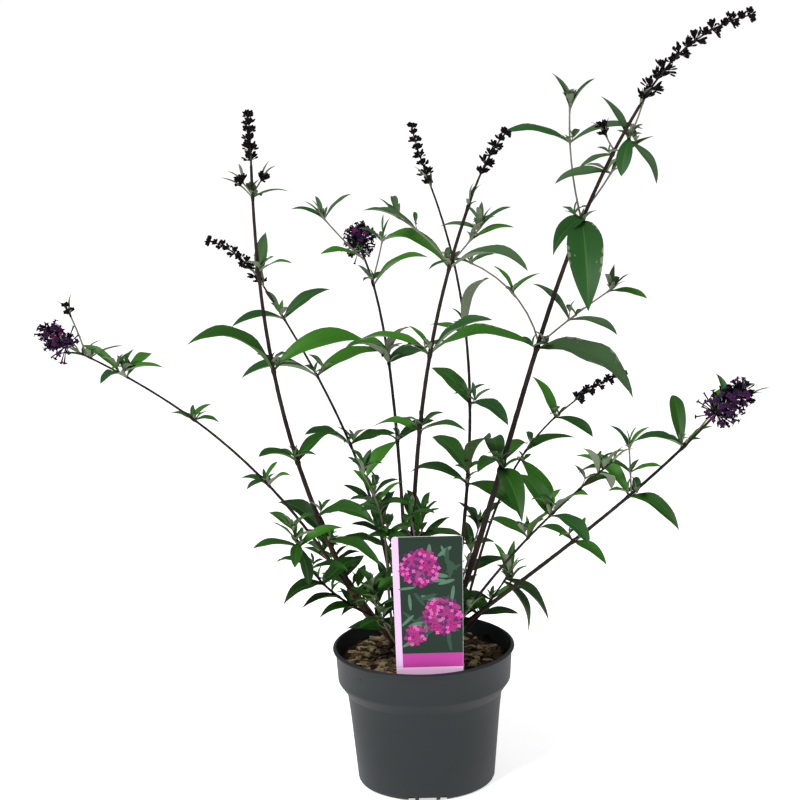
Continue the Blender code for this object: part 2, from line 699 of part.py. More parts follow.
def make_label(paint):
    """The plant label: a flat blade with small round corners that narrows to a stake."""
    half_top = LABEL_TOP_WIDTH / 2
    half_foot = LABEL_FOOT_WIDTH / 2
    half_stake = STAKE_WIDTH / 2 - STAKE_PLAY
    point = SOIL - STAKE_DEPTH
    outline = [(-half_stake, point + STAKE_POINT), (0, point), (half_stake, point + STAKE_POINT),
               (half_stake, SOIL + STAKE_NECK), (half_foot, LABEL_FOOT)]
    for step in range(4):
        angle = math.radians(30 * step)
        outline.append((half_top - LABEL_CORNER + LABEL_CORNER * math.cos(angle),
                        LABEL_TOP - LABEL_CORNER + LABEL_CORNER * math.sin(angle)))
    for step in range(4):
        angle = math.radians(90 + 30 * step)
        outline.append((-half_top + LABEL_CORNER + LABEL_CORNER * math.cos(angle),
                        LABEL_TOP - LABEL_CORNER + LABEL_CORNER * math.sin(angle)))
    outline += [(-half_foot, LABEL_FOOT), (-half_stake, SOIL + STAKE_NECK)]
    rings = [
        [Vector((LABEL_CENTRE_X + x, LABEL_Y + side * LABEL_THICKNESS / 2, z)) for x, z in outline]
        for side in (1, -1)
    ]
    return new_object("plant_label", outward(loft(rings)), paint)


def spur(foot, out, girth, sides, steps):
    """A stub of old wood from inside the woody base to a stem's foot."""
    root = Vector((foot[0] * SPUR_ROOT, foot[1] * SPUR_ROOT, SOIL + SPUR_DEPTH))
    lean = math.degrees((Vector(foot) - root).angle(direction(0, 0)))
    at = bend_between(root, (math.degrees(math.atan2(foot[1], foot[0])), lean), foot, out)
    points = [at(i / BEND_STEPS) for i in range(BEND_STEPS + 1)]
    radii = [girth * 0.5 + extra for extra in SPUR_EXTRA]
    return tube(points, 0, path_length(points), steps, radii, sides)


def make_woody_base(paint, garden):
    """The low crown of old wood, from a flat cut on the potting mix, with a spur for every stem and tuft."""
    rings = []
    for rx, ry, z in BASE_LUMP:
        ring = []
        for k in range(BASE_SIDES):
            angle = 2 * math.pi * k / BASE_SIDES
            swell = 1 + sum(size * math.sin(lobes * angle + shift) for lobes, size, shift in BASE_SWELL)
            ring.append(Vector((rx * swell * math.cos(angle), ry * swell * math.sin(angle), SOIL + GAP + z)))
        rings.append(ring)
    solids = [outward(loft(rings))]
    solids += [spur(stem.foot, stem.out, stem.girth[0] * SPUR_SHARE, SPUR_SIDES, 4) for stem in STEMS]
    solids += [spur(tuft.foot, tuft.out, TUFT_GIRTH, SHOOT_SIDES, 2) for tuft in TUFTS]
    for solid in solids:
        garden.add("woody_base", solid)
    return fuse("woody_base", solids, paint)


def path_of(plant):
    """Close points along the bend of a stem or a tuft."""
    at = bend_between(plant.foot, plant.out, plant.tip, plant.arrive)
    return [at(i / BEND_STEPS) for i in range(BEND_STEPS + 1)]


def radii_between(stem, length, start, end):
    """The radii of a tapering stem at two distances."""
    return [(stem.girth[0] + (stem.girth[1] - stem.girth[0]) * d / length) / 2 for d in (start, end)]


def make_limb(stem, paint, garden):
    """The bare lower part of a stem, as one tapering limb."""
    points = path_of(stem)
    steps = max(2, round(stem.split / LIMB_STEP))
    radii = radii_between(stem, path_length(points), 0, stem.split)
    bar = tube(points, GAP, stem.split, steps, radii, LIMB_SIDES)
    garden.add("stem_" + stem.name, bar)
    return new_object("stem_" + stem.name, bar, paint)


def shoot_path(stem_path, shoot):
    start = along(stem_path, shoot.along)[0]
    return arch(start, shoot.heading, shoot.lean, shoot.length, ARCH_STEPS)


def foliage_wood(stem):
    """The leafy part of a stem without its leaves: the stem itself, its side shoots and the flower heads."""
    points = path_of(stem)
    length = path_length(points)
    start = stem.split + GAP
    steps = max(4, round((length - start) / LIMB_STEP))
    solids = [tube(points, start, length, steps, radii_between(stem, length, start, length), SHOOT_SIDES)]
    for shoot in stem.shoots:
        path = shoot_path(points, shoot)
        radii = (LEAST_GIRTH / 2 + SHOOT_SWELL * shoot.length, LEAST_GIRTH / 2)
        solids.append(tube(path, 0, shoot.length, max(3, round(shoot.length / TWIG_STEP)), radii, TWIG_SIDES))
        solids += grow_head(*along(path, shoot.length), shoot.head, LEAST_GIRTH)
    return solids + grow_head(*along(points, length), stem.head, stem.girth[1] * STALK_SHARE)


def foliage_leaves(stem, node, garden):
    rng = random.Random(node)
    points = path_of(stem)
    solids = grow_pairs(garden, node, points, stem.pairs, LEAF_WIDTH, rng)
    solids += grow_pairs(garden, node, points, stem.bracts, BRACT_WIDTH, rng)
    for shoot in stem.shoots:
        solids += grow_pairs(garden, node, shoot_path(points, shoot), shoot.pairs, LEAF_WIDTH, rng)
    return solids


def tuft_wood(tuft):
    points = path_of(tuft)
    length = path_length(points)
    steps = max(3, round(length / LIMB_STEP))
    return [tube(points, GAP, length, steps, (TUFT_RADIUS, LEAST_GIRTH / 2), SHOOT_SIDES)]


def tuft_leaves(tuft, node, garden):
    points = path_of(tuft)
    reach = path_length(points) - 2 - tuft.bare
    pairs = []
    for k in range(tuft.pairs):
        part = k / (tuft.pairs - 1)
        size = tuft.leaf * (1 - TUFT_SHRINK * part)
        rise = tuft.rise[0] + (tuft.rise[1] - tuft.rise[0]) * part
        pairs.append((tuft.bare + reach * part, tuft.turn + 90 * k, size, rise, rise + TUFT_LIFT))
    return grow_pairs(garden, node, points, pairs, LEAF_WIDTH, random.Random(node))


def main():
    for obj in list(bpy.data.objects):
        bpy.data.objects.remove(obj, do_unlink=True)
    paints = {name: material(name) for name in COLOURS}
    garden = Garden()
    for obj in (make_pot(paints["pot"]), make_soil(paints["soil"]), make_label(paints["label"])):
        corners = [v.co / MM for v in obj.data.vertices]
        garden.add(obj.name, (corners, [tuple(p.vertices) for p in obj.data.polygons]))
    make_woody_base(paints["wood"], garden)
    for stem in STEMS:
        make_limb(stem, paints["wood"], garden)
    masses = [("foliage_" + stem.name, stem, foliage_wood(stem), foliage_leaves) for stem in STEMS]
    masses += [("tuft_" + tuft.name, tuft, tuft_wood(tuft), tuft_leaves) for tuft in TUFTS]
    for node, _, wood, _ in masses:
        for solid in wood:
            garden.add(node, solid)
    for node, plant, wood, grow_leaves in masses:
        leaves = grow_leaves(plant, node, garden)
        for leaf in leaves:
            garden.add(node, leaf)
        fuse(node, wood + leaves, paints["leaf"])


main()
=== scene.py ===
# %% [markdown]
# # A potted butterfly bush
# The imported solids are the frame: they fix the place and the size of every piece. This lesson dresses
# them as a living plant. The pot is turned from its profile, the potting mix is strewn with bark chips,
# and each mass of leaves is grown again by the rule that grew its solid, this time down to single leaves,
# buds and florets.

import math
import random
from collections import namedtuple

import bmesh
import bpy
from mathutils import Matrix, Vector, noise
from mathutils.bvhtree import BVHTree


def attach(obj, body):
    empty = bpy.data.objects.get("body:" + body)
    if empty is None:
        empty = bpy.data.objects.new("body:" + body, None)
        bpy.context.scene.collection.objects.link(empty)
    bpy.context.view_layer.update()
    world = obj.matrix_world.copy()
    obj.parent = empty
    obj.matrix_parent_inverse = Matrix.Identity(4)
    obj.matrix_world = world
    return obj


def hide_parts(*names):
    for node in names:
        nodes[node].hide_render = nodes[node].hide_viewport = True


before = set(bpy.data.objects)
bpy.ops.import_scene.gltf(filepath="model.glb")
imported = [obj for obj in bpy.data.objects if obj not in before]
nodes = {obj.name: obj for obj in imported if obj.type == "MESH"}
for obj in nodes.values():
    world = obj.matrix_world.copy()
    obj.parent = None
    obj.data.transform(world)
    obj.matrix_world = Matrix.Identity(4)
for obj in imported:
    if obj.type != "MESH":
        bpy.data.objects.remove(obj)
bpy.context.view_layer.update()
print("CAD nodes:", len(nodes))

# %% [markdown]
# ## Camera
# The plant was photographed from about three metres with a long lens, a little from above, and the camera
# was rolled by a degree and a half. The matrix is built from the view's own axes, so no aiming
# constraint is needed. The other choice, a target to track, can't hold the roll.

# %% Camera
PITCH_DOWN = math.radians(15.38)
ROLL = math.radians(1.5)
LENS_MM = 136.8

right = Vector((1, 0, 0))
up = Vector((0, math.sin(PITCH_DOWN), math.cos(PITCH_DOWN)))
ahead = Vector((0, math.cos(PITCH_DOWN), -math.sin(PITCH_DOWN)))
rolled_right = right * math.cos(ROLL) - up * math.sin(ROLL)
rolled_up = right * math.sin(ROLL) + up * math.cos(ROLL)

camera = bpy.data.objects.new("camera", bpy.data.cameras.new("camera"))
bpy.context.scene.collection.objects.link(camera)
camera.data.lens = LENS_MM
camera.data.sensor_width = 36.0
camera.matrix_world = Matrix.Translation((-0.018, -3.0, 1.238)) @ Matrix(
    (rolled_right, rolled_up, -ahead)
).transposed().to_4x4()
bpy.context.scene.camera = camera
bpy.context.scene.view_settings.view_transform = "Standard"
print("camera", [round(c, 3) for c in camera.location])

# %% [markdown]
# ## Materials
# Every colour is written as it looks on a screen and turned to linear light by one function. A leaf's tones
# are separate plain materials, dealt out by spray: the bush is deep green low down and sage grey in its young
# tops, and every blade is paler below.


# %% Material helpers
def linear(code):
    """A screen colour such as #8090a0 as linear red, green, blue and alpha."""
    values = [int(code[i : i + 2], 16) / 255 for i in (1, 3, 5)]
    return tuple(v / 12.92 if v <= 0.04045 else ((v + 0.055) / 1.055) ** 2.4 for v in values) + (1.0,)


def add(tree, kind, settings=None, **links):
    """A new node with its settings, its input values and its links."""
    node = tree.nodes.new(kind)
    for key, value in (settings or {}).items():
        setattr(node, key, value)
    for key, value in links.items():
        socket = node.inputs[key.replace("_", " ")]
        if isinstance(value, bpy.types.NodeSocket):
            tree.links.new(value, socket)
        else:
            socket.default_value = value
    return node


def material(name, code, roughness, specular=0.5, sheen=0.0):
    """A plain Principled material of one colour."""
    made = bpy.data.materials.new(name)
    made.use_nodes = True
    shader = made.node_tree.nodes["Principled BSDF"]
    shader.inputs["Base Color"].default_value = linear(code)
    shader.inputs["Roughness"].default_value = roughness
    shader.inputs["Specular IOR Level"].default_value = specular
    shader.inputs["Sheen Weight"].default_value = sheen
    return made


def mottled(made, codes, size_mm, detail=3.0):
    """Lets a material's colour wander between tones over patches of a real size."""
    tree = made.node_tree
    place = add(tree, "ShaderNodeTexCoord").outputs["Object"]
    cloud = add(tree, "ShaderNodeTexNoise", Vector=place, Scale=1000 / size_mm, Detail=detail)
    ramp = add(tree, "ShaderNodeValToRGB", Fac=cloud.outputs["Fac"])
    stops = ramp.color_ramp.elements
    while len(stops) < len(codes):
        stops.new(0.5)
    for k, code in enumerate(codes):
        stops[k].position = 0.32 + 0.36 * k / (len(codes) - 1)
        stops[k].color = linear(code)
    tree.links.new(ramp.outputs["Color"], tree.nodes["Principled BSDF"].inputs["Base Color"])
    return made


def roughened(made, size_mm, depth_mm, strength=1.0, stretch=(1, 1, 1)):
    """Adds a fine relief of a real size to a material."""
    tree = made.node_tree
    place = add(tree, "ShaderNodeTexCoord").outputs["Object"]
    mapped = add(tree, "ShaderNodeMapping", Vector=place, Scale=stretch).outputs["Vector"]
    grain = add(tree, "ShaderNodeTexNoise", Vector=mapped, Scale=1000 / size_mm, Detail=4.0)
    bump = add(tree, "ShaderNodeBump", Height=grain.outputs["Fac"], Distance=depth_mm / 1000, Strength=strength)
    tree.links.new(bump.outputs["Normal"], tree.nodes["Principled BSDF"].inputs["Normal"])
    return made


# %% Materials
# Recycled polypropylene: a dull, slightly uneven slate grey with a soft moulded skin.
pot_plastic = roughened(material("recycled_polypropylene", "#232729", 0.55, 0.22), 1.2, 0.02, 0.5)
# Moist peat between the chips, nearly black.
peat = roughened(mottled(material("moist_peat", "#120d09", 0.95, 0.1), ("#0a0705", "#1a130d", "#2c2218"), 5), 2.5, 0.8)
# Bark chips, from fresh tan faces to wet dark ones.
chip_paints = [
    roughened(mottled(material("pine_bark_tan", "#8f7c5e", 0.9, 0.15), ("#6a5a42", "#a8966f"), 6), 1.5, 0.3),
    roughened(mottled(material("pine_bark_brown", "#46382a", 0.9, 0.15), ("#33271e", "#5e4a36"), 6), 1.5, 0.3),
    roughened(mottled(material("pine_bark_wet", "#1a130f", 0.85, 0.15), ("#100b08", "#261d16"), 6), 1.5, 0.3),
]
# The old wood at the foot of the bush: ridged brown bark that peels in strips.
old_bark = roughened(mottled(material("old_bark", "#4b3526", 0.88, 0.25), ("#33231a", "#4b3526", "#6b5240"), 5),
                     2.0, 0.5, 1.0, (1, 1, 0.3))
# This year's shoots: dark purple-brown, softly downy.
young_wood = roughened(mottled(material("young_wood", "#1f1616", 0.7, 0.15), ("#130d0e", "#2c201a"), 25),
                       1.2, 0.12, 1.0, (1, 1, 0.25))
# Thin side shoots, greyed by felt.
felted_wood = roughened(material("felted_wood", "#6d675c", 0.8, 0.25), 1.2, 0.1, 1.0, (1, 1, 0.3))
# Blades seen from above, low to high on the bush, and the pale midrib.
blade_paints = [
    material("leaf_deep_green", "#123608", 0.5, 0.22),
    material("leaf_green", "#1d4b0b", 0.5, 0.22),
    material("leaf_bright_green", "#2f6812", 0.5, 0.22),
    material("leaf_blue_green", "#1f4a1c", 0.55, 0.22),
    material("leaf_grey_green", "#3b5735", 0.7, 0.18),
]
midrib_paint = material("leaf_midrib", "#34601c", 0.6, 0.2)
# Blades seen from below, covered with grey felt.
felt_paints = [
    material("leaf_felt_green", "#41592f", 0.9, 0.12),
    material("leaf_felt_grey", "#6b7660", 0.9, 0.12),
]
# Closed flower buds, almost black.
bud_paint = material("flower_bud", "#0c070c", 0.8, 0.1)
bud_stalk_paint = material("flower_stalk", "#1f191b", 0.8, 0.1)
# Open florets: dark tubes, and lobes from black-purple to plum.
petal_paints = [
    material("floret_tube", "#100612", 0.8, 0.1),
    material("petal_black_purple", "#1a081f", 0.75, 0.15),
    material("petal_deep_purple", "#2f1038", 0.75, 0.15),
    material("petal_plum", "#541547", 0.75, 0.15),
]
# The plant label: printed plastic card.
card_paints = {
    "card": material("label_card", "#e9e6ea", 0.5, 0.2),
    "lilac": material("label_lilac", "#d6b4da", 0.5, 0.2),
    "ground": material("label_dark_green", "#152a1f", 0.5, 0.2),
    "band": material("label_magenta", "#ad3790", 0.5, 0.2),
    "foot": material("label_pale_pink", "#edc3e6", 0.5, 0.2),
    "bloom": material("label_bloom", "#9c1f72", 0.5, 0.2),
    "light": material("label_bloom_light", "#cf4fa6", 0.5, 0.2),
    "dusk": material("label_bloom_dusk", "#5a1a5e", 0.5, 0.2),
    "leaf": material("label_leaf", "#4c6e58", 0.5, 0.2),
    "shade": material("label_leaf_shade", "#2a4536", 0.5, 0.2),
}
print("materials:", len(bpy.data.materials))

# %% [markdown]
# ## The growth rule
# The sizes below are the source's own, in millimetres and degrees. A stem is one smooth bend between two
# points. Leaves stand on it in opposite pairs, and side shoots and flower heads go on from it. The same
# random draws are made in the same order, so that every leaf comes out where its solid is.

# %% Sizes of the plant
MM = 0.001
GAP = 0.3
SOIL = 133.0
HANDLE = 0.36
SPUR_ROOT = 0.24
LEAST_GIRTH = 1.7
LEAF_WIDTH = 0.27
BRACT_WIDTH = 0.11
LEAF_BEND = 30.0
BEND_LENGTH = 90.0
BEND_SHARE = (0.6, 1.2)
ARCH_STEPS = 8
LEAF_TILT = 30.0
LEAF_STATION = 0.52
SMALL_LEAF_STATION = 0.42
SMALL_LEAF = 60.0
NUDGES = (0, 9, -9, 18, -18, 28, -28)
BUD_REACH = 10.0
BUD_BREADTH = 4.0
BUD_SPACING = (11.0, 7.0)
FLORET_REACH = 17.0
FLORET_BREADTH = 6.0
FLORET_SPACING = 9.0
FLORETS = 5
FLORET_GROWTH = 1.15
AXIS_RADIUS = 1.1
HEAD_BEND = 1.6

# %% Tables of the stems and tufts
# A stem runs on one smooth bend from its foot to its tip. out and arrive are (heading, lean) at its two
# ends, girth its thickness there, and split the length of its bare limb. A pair row is (distance up the
# stem, heading of the first leaf, leaf length, rise of the first leaf, rise of the one opposite or None for
# a single leaf). Bracts are rows of the same kind for narrow leaves.
STEM_FIELDS = "name foot out tip arrive girth split pairs shoots head bracts"
Stem = namedtuple("Stem", STEM_FIELDS, defaults=((), None, ()))
# A side shoot sets out at a distance up its stem, with (lean, lean at its tip) and its own pairs.
Shoot = namedtuple("Shoot", "along heading lean length pairs head", defaults=((), None))
# A head is (kind, length, heading, lean at its tip, bare length below its flowers, size of its flowers).

STEMS = (
    Stem(
        "left_low", (-76, -32, 222), (180, 30), (-332, -100, 497), (190, 60), (3.4, 1.9), 128,
        ((142, 140, 38, 5, 30), (148, 230, 26, 0, 36), (250, 325, 34, 10, 4), (253, 40, 28, 20, None),
         (334, 248, 62, 8, 9), (342, 156, 50, 34, 10)),
        (Shoot(380, 180, (14, 22), 42, (), ("buds", 16, 170, 22, 3, 0.6)),),
        ("blossom", 44, 190, 34, 14, 1.0),
        ((376, 200, 36, 14, 10), (384, 30, 26, 30, None)),
    ),
    Stem(
        "left_tall", (-72, -19, 214), (140, 35), (-160, -20, 664), (235, 0), (5.4, 2.9), 42,
        ((57, 138, 82, 21, -9), (86, 322, 82, 6, None), (147, 230, 68, 19, 19), (249, 205, 112, 30, 12),
         (354, 84, 60, 34, None), (358, 318, 52, 22, None)),
        (Shoot(438, 205, (30, 40), 16, (), ("buds", 6, 205, 40, 2, 0.8)),
         Shoot(438, 25, (30, 40), 16, (), ("buds", 6, 25, 40, 2, 0.8))),
        ("buds", 54, 190, 4, 4, 1.0),
        ((436, 213, 44, 38, 4),),
    ),
    Stem(
        "left_thin", (-29, 16, 172), (100, 25), (-160, 160, 498), (135, 45), (3.6, 2.1), 172,
        ((189, 32, 60, 2, 25), (270, 203, 92, 5, 8), (342, 214, 70, 2, 25), (349, 130, 34, 38, None)),
        (),
        ("buds", 84, 182, 74, 4, 0.9),
    ),
    Stem(
        "centre_back", (-14, 16, 168), (95, 30), (-56, 220, 521), (105, 70), (4.4, 2.3), 172,
        ((190, 218, 56, -30, 14), (274, 229, 80, 26, -8), (280, 120, 66, 8, 48), (367, 342, 78, 31, None),
         (371, 128, 32, 30, None)),
        (Shoot(372, 34, (22, 14), 50, ((44, 160, 32, 30, 20),)),
         Shoot(404, 178, (46, 38), 70, ((10, 196, 46, 8, None), (64, 190, 40, 22, 40),
                                       (67, 110, 30, 44, None)))),
        ("blossom", 32, 60, 6, 6, 1.1),
    ),
    Stem(
        "centre", (-16, -6, 170), (30, 5), (56, -60, 630), (355, 20), (5.2, 3.2), 204,
        ((219, 142, 62, 2, 11), (304, 336, 86, 34, 4), (310, 150, 34, 40, None), (400, 143, 98, 14, 9),
         (408, 210, 28, -8, None)),
        (Shoot(403, 166, (34, 62), 74, ((70, 196, 42, 16, None), (72, 100, 40, 20, None),
                                       (48, 190, 46, 34, None))),
         Shoot(405, 8, (44, 38), 48, ((30, 8, 48, 16, None), (32, 300, 34, 40, None), (44, 172, 40, 8, 34),
                                     (47, 80, 30, 52, 56)))),
        ("buds", 82, 350, 42, 28, 0.95),
        ((466, 289, 30, -22, None),),
    ),
    Stem(
        "centre_thin", (32, 22, 168), (45, 12), (21, 140, 604), (140, 25), (4.2, 2.1), 128,
        ((142, 142, 76, 6, -14), (152, 118, 82, 20, 44), (226, 124, 75, 26, -4), (300, 145, 52, 3, None),
         (303, 299, 88, 53, None), (308, 200, 26, 58, None)),
        (),
        ("buds", 72, 186, 8, 4, 0.9),
    ),
    Stem(
        "right_tall", (38, -9, 196), (10, 20), (229, 0, 711), (320, 35), (6.6, 3.2), 130,
        ((146, 286, 82, -24, 14), (153, 240, 62, 7, 9), (277, 157, 128, -4, -22), (417, 268, 124, -38, None),
         (421, 232, 64, -28, None), (495, 200, 46, -18, None)),
        (Shoot(283, 172, (12, 76), 132, ((56, 170, 40, 58, None), (60, 24, 40, 28, None),
                                        (112, 196, 26, 10, 20))),
         Shoot(280, 4, (50, 58), 98, ((42, 150, 58, 40, -6), (92, 330, 44, -4, None), (94, 70, 30, 56, 50))),
         Shoot(417, 165, (14, -4), 124, ((82, 172, 80, 8, 12), (116, 160, 42, 66, 52))),
         Shoot(500, 190, (40, 20), 16, (), ("buds", 16, 190, 20, 2, 0.9)),
         Shoot(434, 350, (38, 18), 120, ((42, 188, 62, -4, 40), (80, 166, 56, 58, -56),
                                        (84, 250, 50, -46, None)))),
        ("buds", 158, 352, 78, 6, 1.25),
    ),
    Stem(
        "right_low", (41, -30, 178), (340, 50), (286, -160, 432), (310, 45), (4.8, 2.5), 142,
        ((157, 134, 50, 7, -15), (238, 306, 74, -16, 28), (322, 92, 68, 40, None), (326, 206, 60, 18, None),
         (329, 328, 36, 40, None)),
        (Shoot(242, 100, (10, 8), 50, ((22, 10, 34, 10, 24), (46, 160, 32, 54, 46))),
         Shoot(346, 10, (30, 82), 68, ((26, 60, 40, 30, None), (44, 20, 36, 30, None),
                                      (46, 120, 34, 54, None)))),
        ("blossom", 50, 352, 56, 4, 1.2),
    ),
    Stem(
        "right_front", (46, -34, 196), (300, 45), (185, -200, 401), (320, 50), (3.2, 1.8), 134,
        ((149, 138, 56, 12, 44), (193, 122, 72, 26, -8), (199, 304, 60, 34, None), (246, 36, 46, 8, None),
         (276, 244, 50, 44, -30), (286, 312, 38, 44, -20)),
    ),
    Stem(
        "right_back", (48, 14, 192), (35, 20), (172, 200, 351), (40, 70), (3.2, 1.8), 158,
        ((176, 306, 72, -42, None), (190, 20, 62, 5, None), (253, 142, 54, 58, -14)),
        (),
        ("buds", 74, 20, 80, 4, 0.8),
    ),
    Stem(
        "left_short", (-52, -36, 192), (178, 62), (-127, -140, 321), (255, 40), (3.0, 1.7), 14,
        ((22, 225, 50, 1, -51), (45, 223, 54, 2, None), (73, 228, 62, -1, 10), (110, 140, 50, 4, 10),
         (159, 200, 50, 4, 16), (166, 263, 44, -14, None), (160, 300, 42, -60, None),
         (196, 134, 38, 21, 40)),
    ),
    Stem(
        "right_short", (36, -14, 154), (340, 38), (92, -46, 242), (320, 36), (2.8, 1.8), 22,
        ((40, 14, 44, -4, 20), (64, 196, 38, 10, 16), (92, 348, 66, -66, None), (96, 338, 68, -46, None),
         (98, 150, 38, 66, None), (104, 60, 36, 66, 58)),
    ),
)

# A tuft is a short leafy shoot from the woody base. Its leaf pairs stand at even steps above its bare foot,
# each pair turned 90 degrees from the last; rise is that of the lowest and of the topmost pair.
Tuft = namedtuple("Tuft", "name foot out tip arrive turn pairs leaf bare rise")

TUFTS = (
    Tuft("left_inner", (-20, 30, 156), (125, 18), (-48, 66, 278), (200, 20), 186, 5, 64, 40, (-12, 40)),
    Tuft("left_front", (-24, -30, 152), (225, 36), (-52, -62, 226), (215, 20), 150, 4, 50, 34, (-8, 34)),
    Tuft("left_outer", (-38, 8, 156), (175, 30), (-104, 14, 246), (190, 40), 240, 5, 52, 40, (6, 34)),
    Tuft("centre_front", (-4, -22, 154), (270, 12), (-10, -38, 300), (180, 10), 350, 4, 64, 72, (-20, 14)),
    Tuft("centre_left", (-31, 4, 160), (210, 10), (-58, -36, 346), (200, 30), 150, 4, 44, 116, (10, 52)),
    Tuft("centre_rear", (4, 32, 154), (90, 16), (2, 66, 262), (80, 16), 40, 4, 58, 36, (-8, 50)),
    Tuft("right_inner", (30, 30, 154), (60, 18), (62, 74, 250), (40, 24), 100, 4, 56, 34, (-10, 50)),
    Tuft("right_low_front", (22, -26, 152), (290, 48), (48, -56, 206), (320, 40), 100, 3, 40, 30, (10, 40)),
)


# %% Paths
def direction(heading, lean):
    """Unit vector for a heading and a lean from the vertical, both in degrees."""
    across = math.sin(math.radians(lean))
    turn = math.radians(heading)
    return Vector((across * math.cos(turn), across * math.sin(turn), math.cos(math.radians(lean))))


def bend_between(foot, out, tip, arrive):
    """A function of 0 to 1 that runs from foot to tip on one smooth bend."""
    start, end = Vector(foot), Vector(tip)
    reach = (end - start).length * HANDLE
    first = start + direction(*out) * reach
    second = end - direction(*arrive) * reach

    def at(t):
        u = 1 - t
        return start * u**3 + first * (3 * t * u * u) + second * (3 * t * t * u) + end * t**3

    return at


def arch(start, heading, lean, length, steps):
    """Points along a path whose lean changes evenly from lean[0] to lean[1]."""
    points = [Vector(start)]
    for step in range(steps):
        part = (step + 0.5) / steps
        points.append(points[-1] + direction(heading, lean[0] + (lean[1] - lean[0]) * part) * (length / steps))
    return points


def along(points, distance):
    """The point and the direction at a distance along a path of points."""
    for a, b in zip(points, points[1:]):
        span = (b - a).length
        if distance <= span:
            return a + (b - a) * (distance / span), (b - a).normalized()
        distance -= span
    return points[-1].copy(), (points[-1] - points[-2]).normalized()


def path_length(points):
    return sum((b - a).length for a, b in zip(points, points[1:]))


def cut_path(points, start, end, steps):
    """Evenly spaced points of a path between two distances."""
    return [along(points, start + (end - start) * i / steps)[0] for i in range(steps + 1)]


def path_of(plant):
    """Close points along the bend of a stem or a tuft."""
    at = bend_between(plant.foot, plant.out, plant.tip, plant.arrive)
    return [at(i / 80) for i in range(81)]


def shoot_path(stem_path, shoot):
    start = along(stem_path, shoot.along)[0]
    return arch(start, shoot.heading, shoot.lean, shoot.length, 8)


# %% [markdown]
# ## Gathering meshes
# Thousands of small things are kept as plain lists of points and faces and joined into one mesh a kind.
# Joining objects one by one would do the same far more slowly.


# %% Mesh gathering
class Heap:
    """Points in millimetres and faces with their material and surface coordinates, joined into one mesh."""

    def __init__(self, paints):
        self.paints = list(paints)
        self.points, self.faces, self.slots, self.places = [], [], [], []

    def put(self, points, faces, slots, places=None):
        base = len(self.points)
        self.points += points
        for n, face in enumerate(faces):
            self.faces.append([base + i for i in face])
            self.slots.append(slots if isinstance(slots, int) else slots[n])
            self.places += [places[i] if places else (0.0, 0.0) for i in face]

    def build(self, name, smooth_angle=50):
        mesh = bpy.data.meshes.new(name)
        mesh.from_pydata([tuple(p * MM) for p in self.points], [], self.faces)
        for paint in self.paints:
            mesh.materials.append(paint)
        mesh.polygons.foreach_set("material_index", self.slots)
        layer = mesh.uv_layers.new(name="UVMap")
        layer.data.foreach_set("uv", [value for place in self.places for value in place])
        mesh.shade_smooth()
        mesh.set_sharp_from_angle(angle=math.radians(smooth_angle))
        mesh.validate()
        obj = bpy.data.objects.new(name, mesh)
        bpy.context.scene.collection.objects.link(obj)
        print(name, "triangles:", sum(len(face) - 2 for face in self.faces))
        return obj


def placed(obj, slot, *stands_for):
    """A finished piece: it rides on the only body and stands for its CAD nodes."""
    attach(obj, "root")
    if stands_for:
        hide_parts(*stands_for)
    return obj


# %% [markdown]
# ## The nursery pot
# One profile goes round the axis: a tapered body, a step, a nearly straight collar and a small rolled lip.
# A Screw modifier could turn it too; rings made by hand leave the corners in known places, so the
# drainage notches can be cut by Boolean boxes afterwards.

# %% Pot
RIM_RADIUS = 95.0
POT_HEIGHT = 148.0
POT_SEGMENTS = 160
WALL = 1.5
FLOOR = 6.0


def rounded_corner(centre, radius, start, end, steps=4):
    """Points of a small arc in the profile plane, angles in degrees from the outward direction."""
    angles = [math.radians(start + (end - start) * k / steps) for k in range(steps + 1)]
    return [(centre[0] + radius * math.cos(a), centre[1] + radius * math.sin(a)) for a in angles]


outer = [(0.0, 0.0)] + rounded_corner((68.0, 4.0), 4.0, -90, -6)
outer += [(75.2, 40.0), (78.4, 76.0)]
outer += rounded_corner((80.1, 98.0), 1.0, 0, 70, 3)[:1] + [(81.4, 98.9), (82.2, 99.8)]
outer += [(89.6, 110.6), (90.2, 111.8), (90.4, 113.4), (92.2, 143.2)]
outer += [(92.9, 144.1)] + rounded_corner((93.8, 145.6), 1.2, -50, 90, 6)
outer += rounded_corner((92.4, 146.8), 1.2, 90, 180, 4)
inner = [(90.9, 143.5), (88.9, 112.8), (88.2, 111.4), (79.5, 99.2), (70.9, FLOOR + 2.0), (69.0, FLOOR), (0.0, FLOOR)]


def turned(profile, segments):
    """Points and faces of a solid of revolution whose profile starts and ends on the axis."""
    points, rows, faces = [], [], []
    for radius, height in profile:
        if radius == 0.0:
            rows.append([len(points)] * segments)
            points.append(Vector((0, 0, height)))
            continue
        rows.append(list(range(len(points), len(points) + segments)))
        for k in range(segments):
            angle = 2 * math.pi * k / segments
            points.append(Vector((radius * math.cos(angle), radius * math.sin(angle), height)))
    for low, high in zip(rows, rows[1:]):
        for k in range(segments):
            j = (k + 1) % segments
            faces.append(tuple(dict.fromkeys((low[k], low[j], high[j], high[k]))))
    return points, faces


pot_heap = Heap([pot_plastic])
pot_heap.put(*turned(outer + inner, POT_SEGMENTS), 0)
pot = pot_heap.build("nursery_pot", 35)

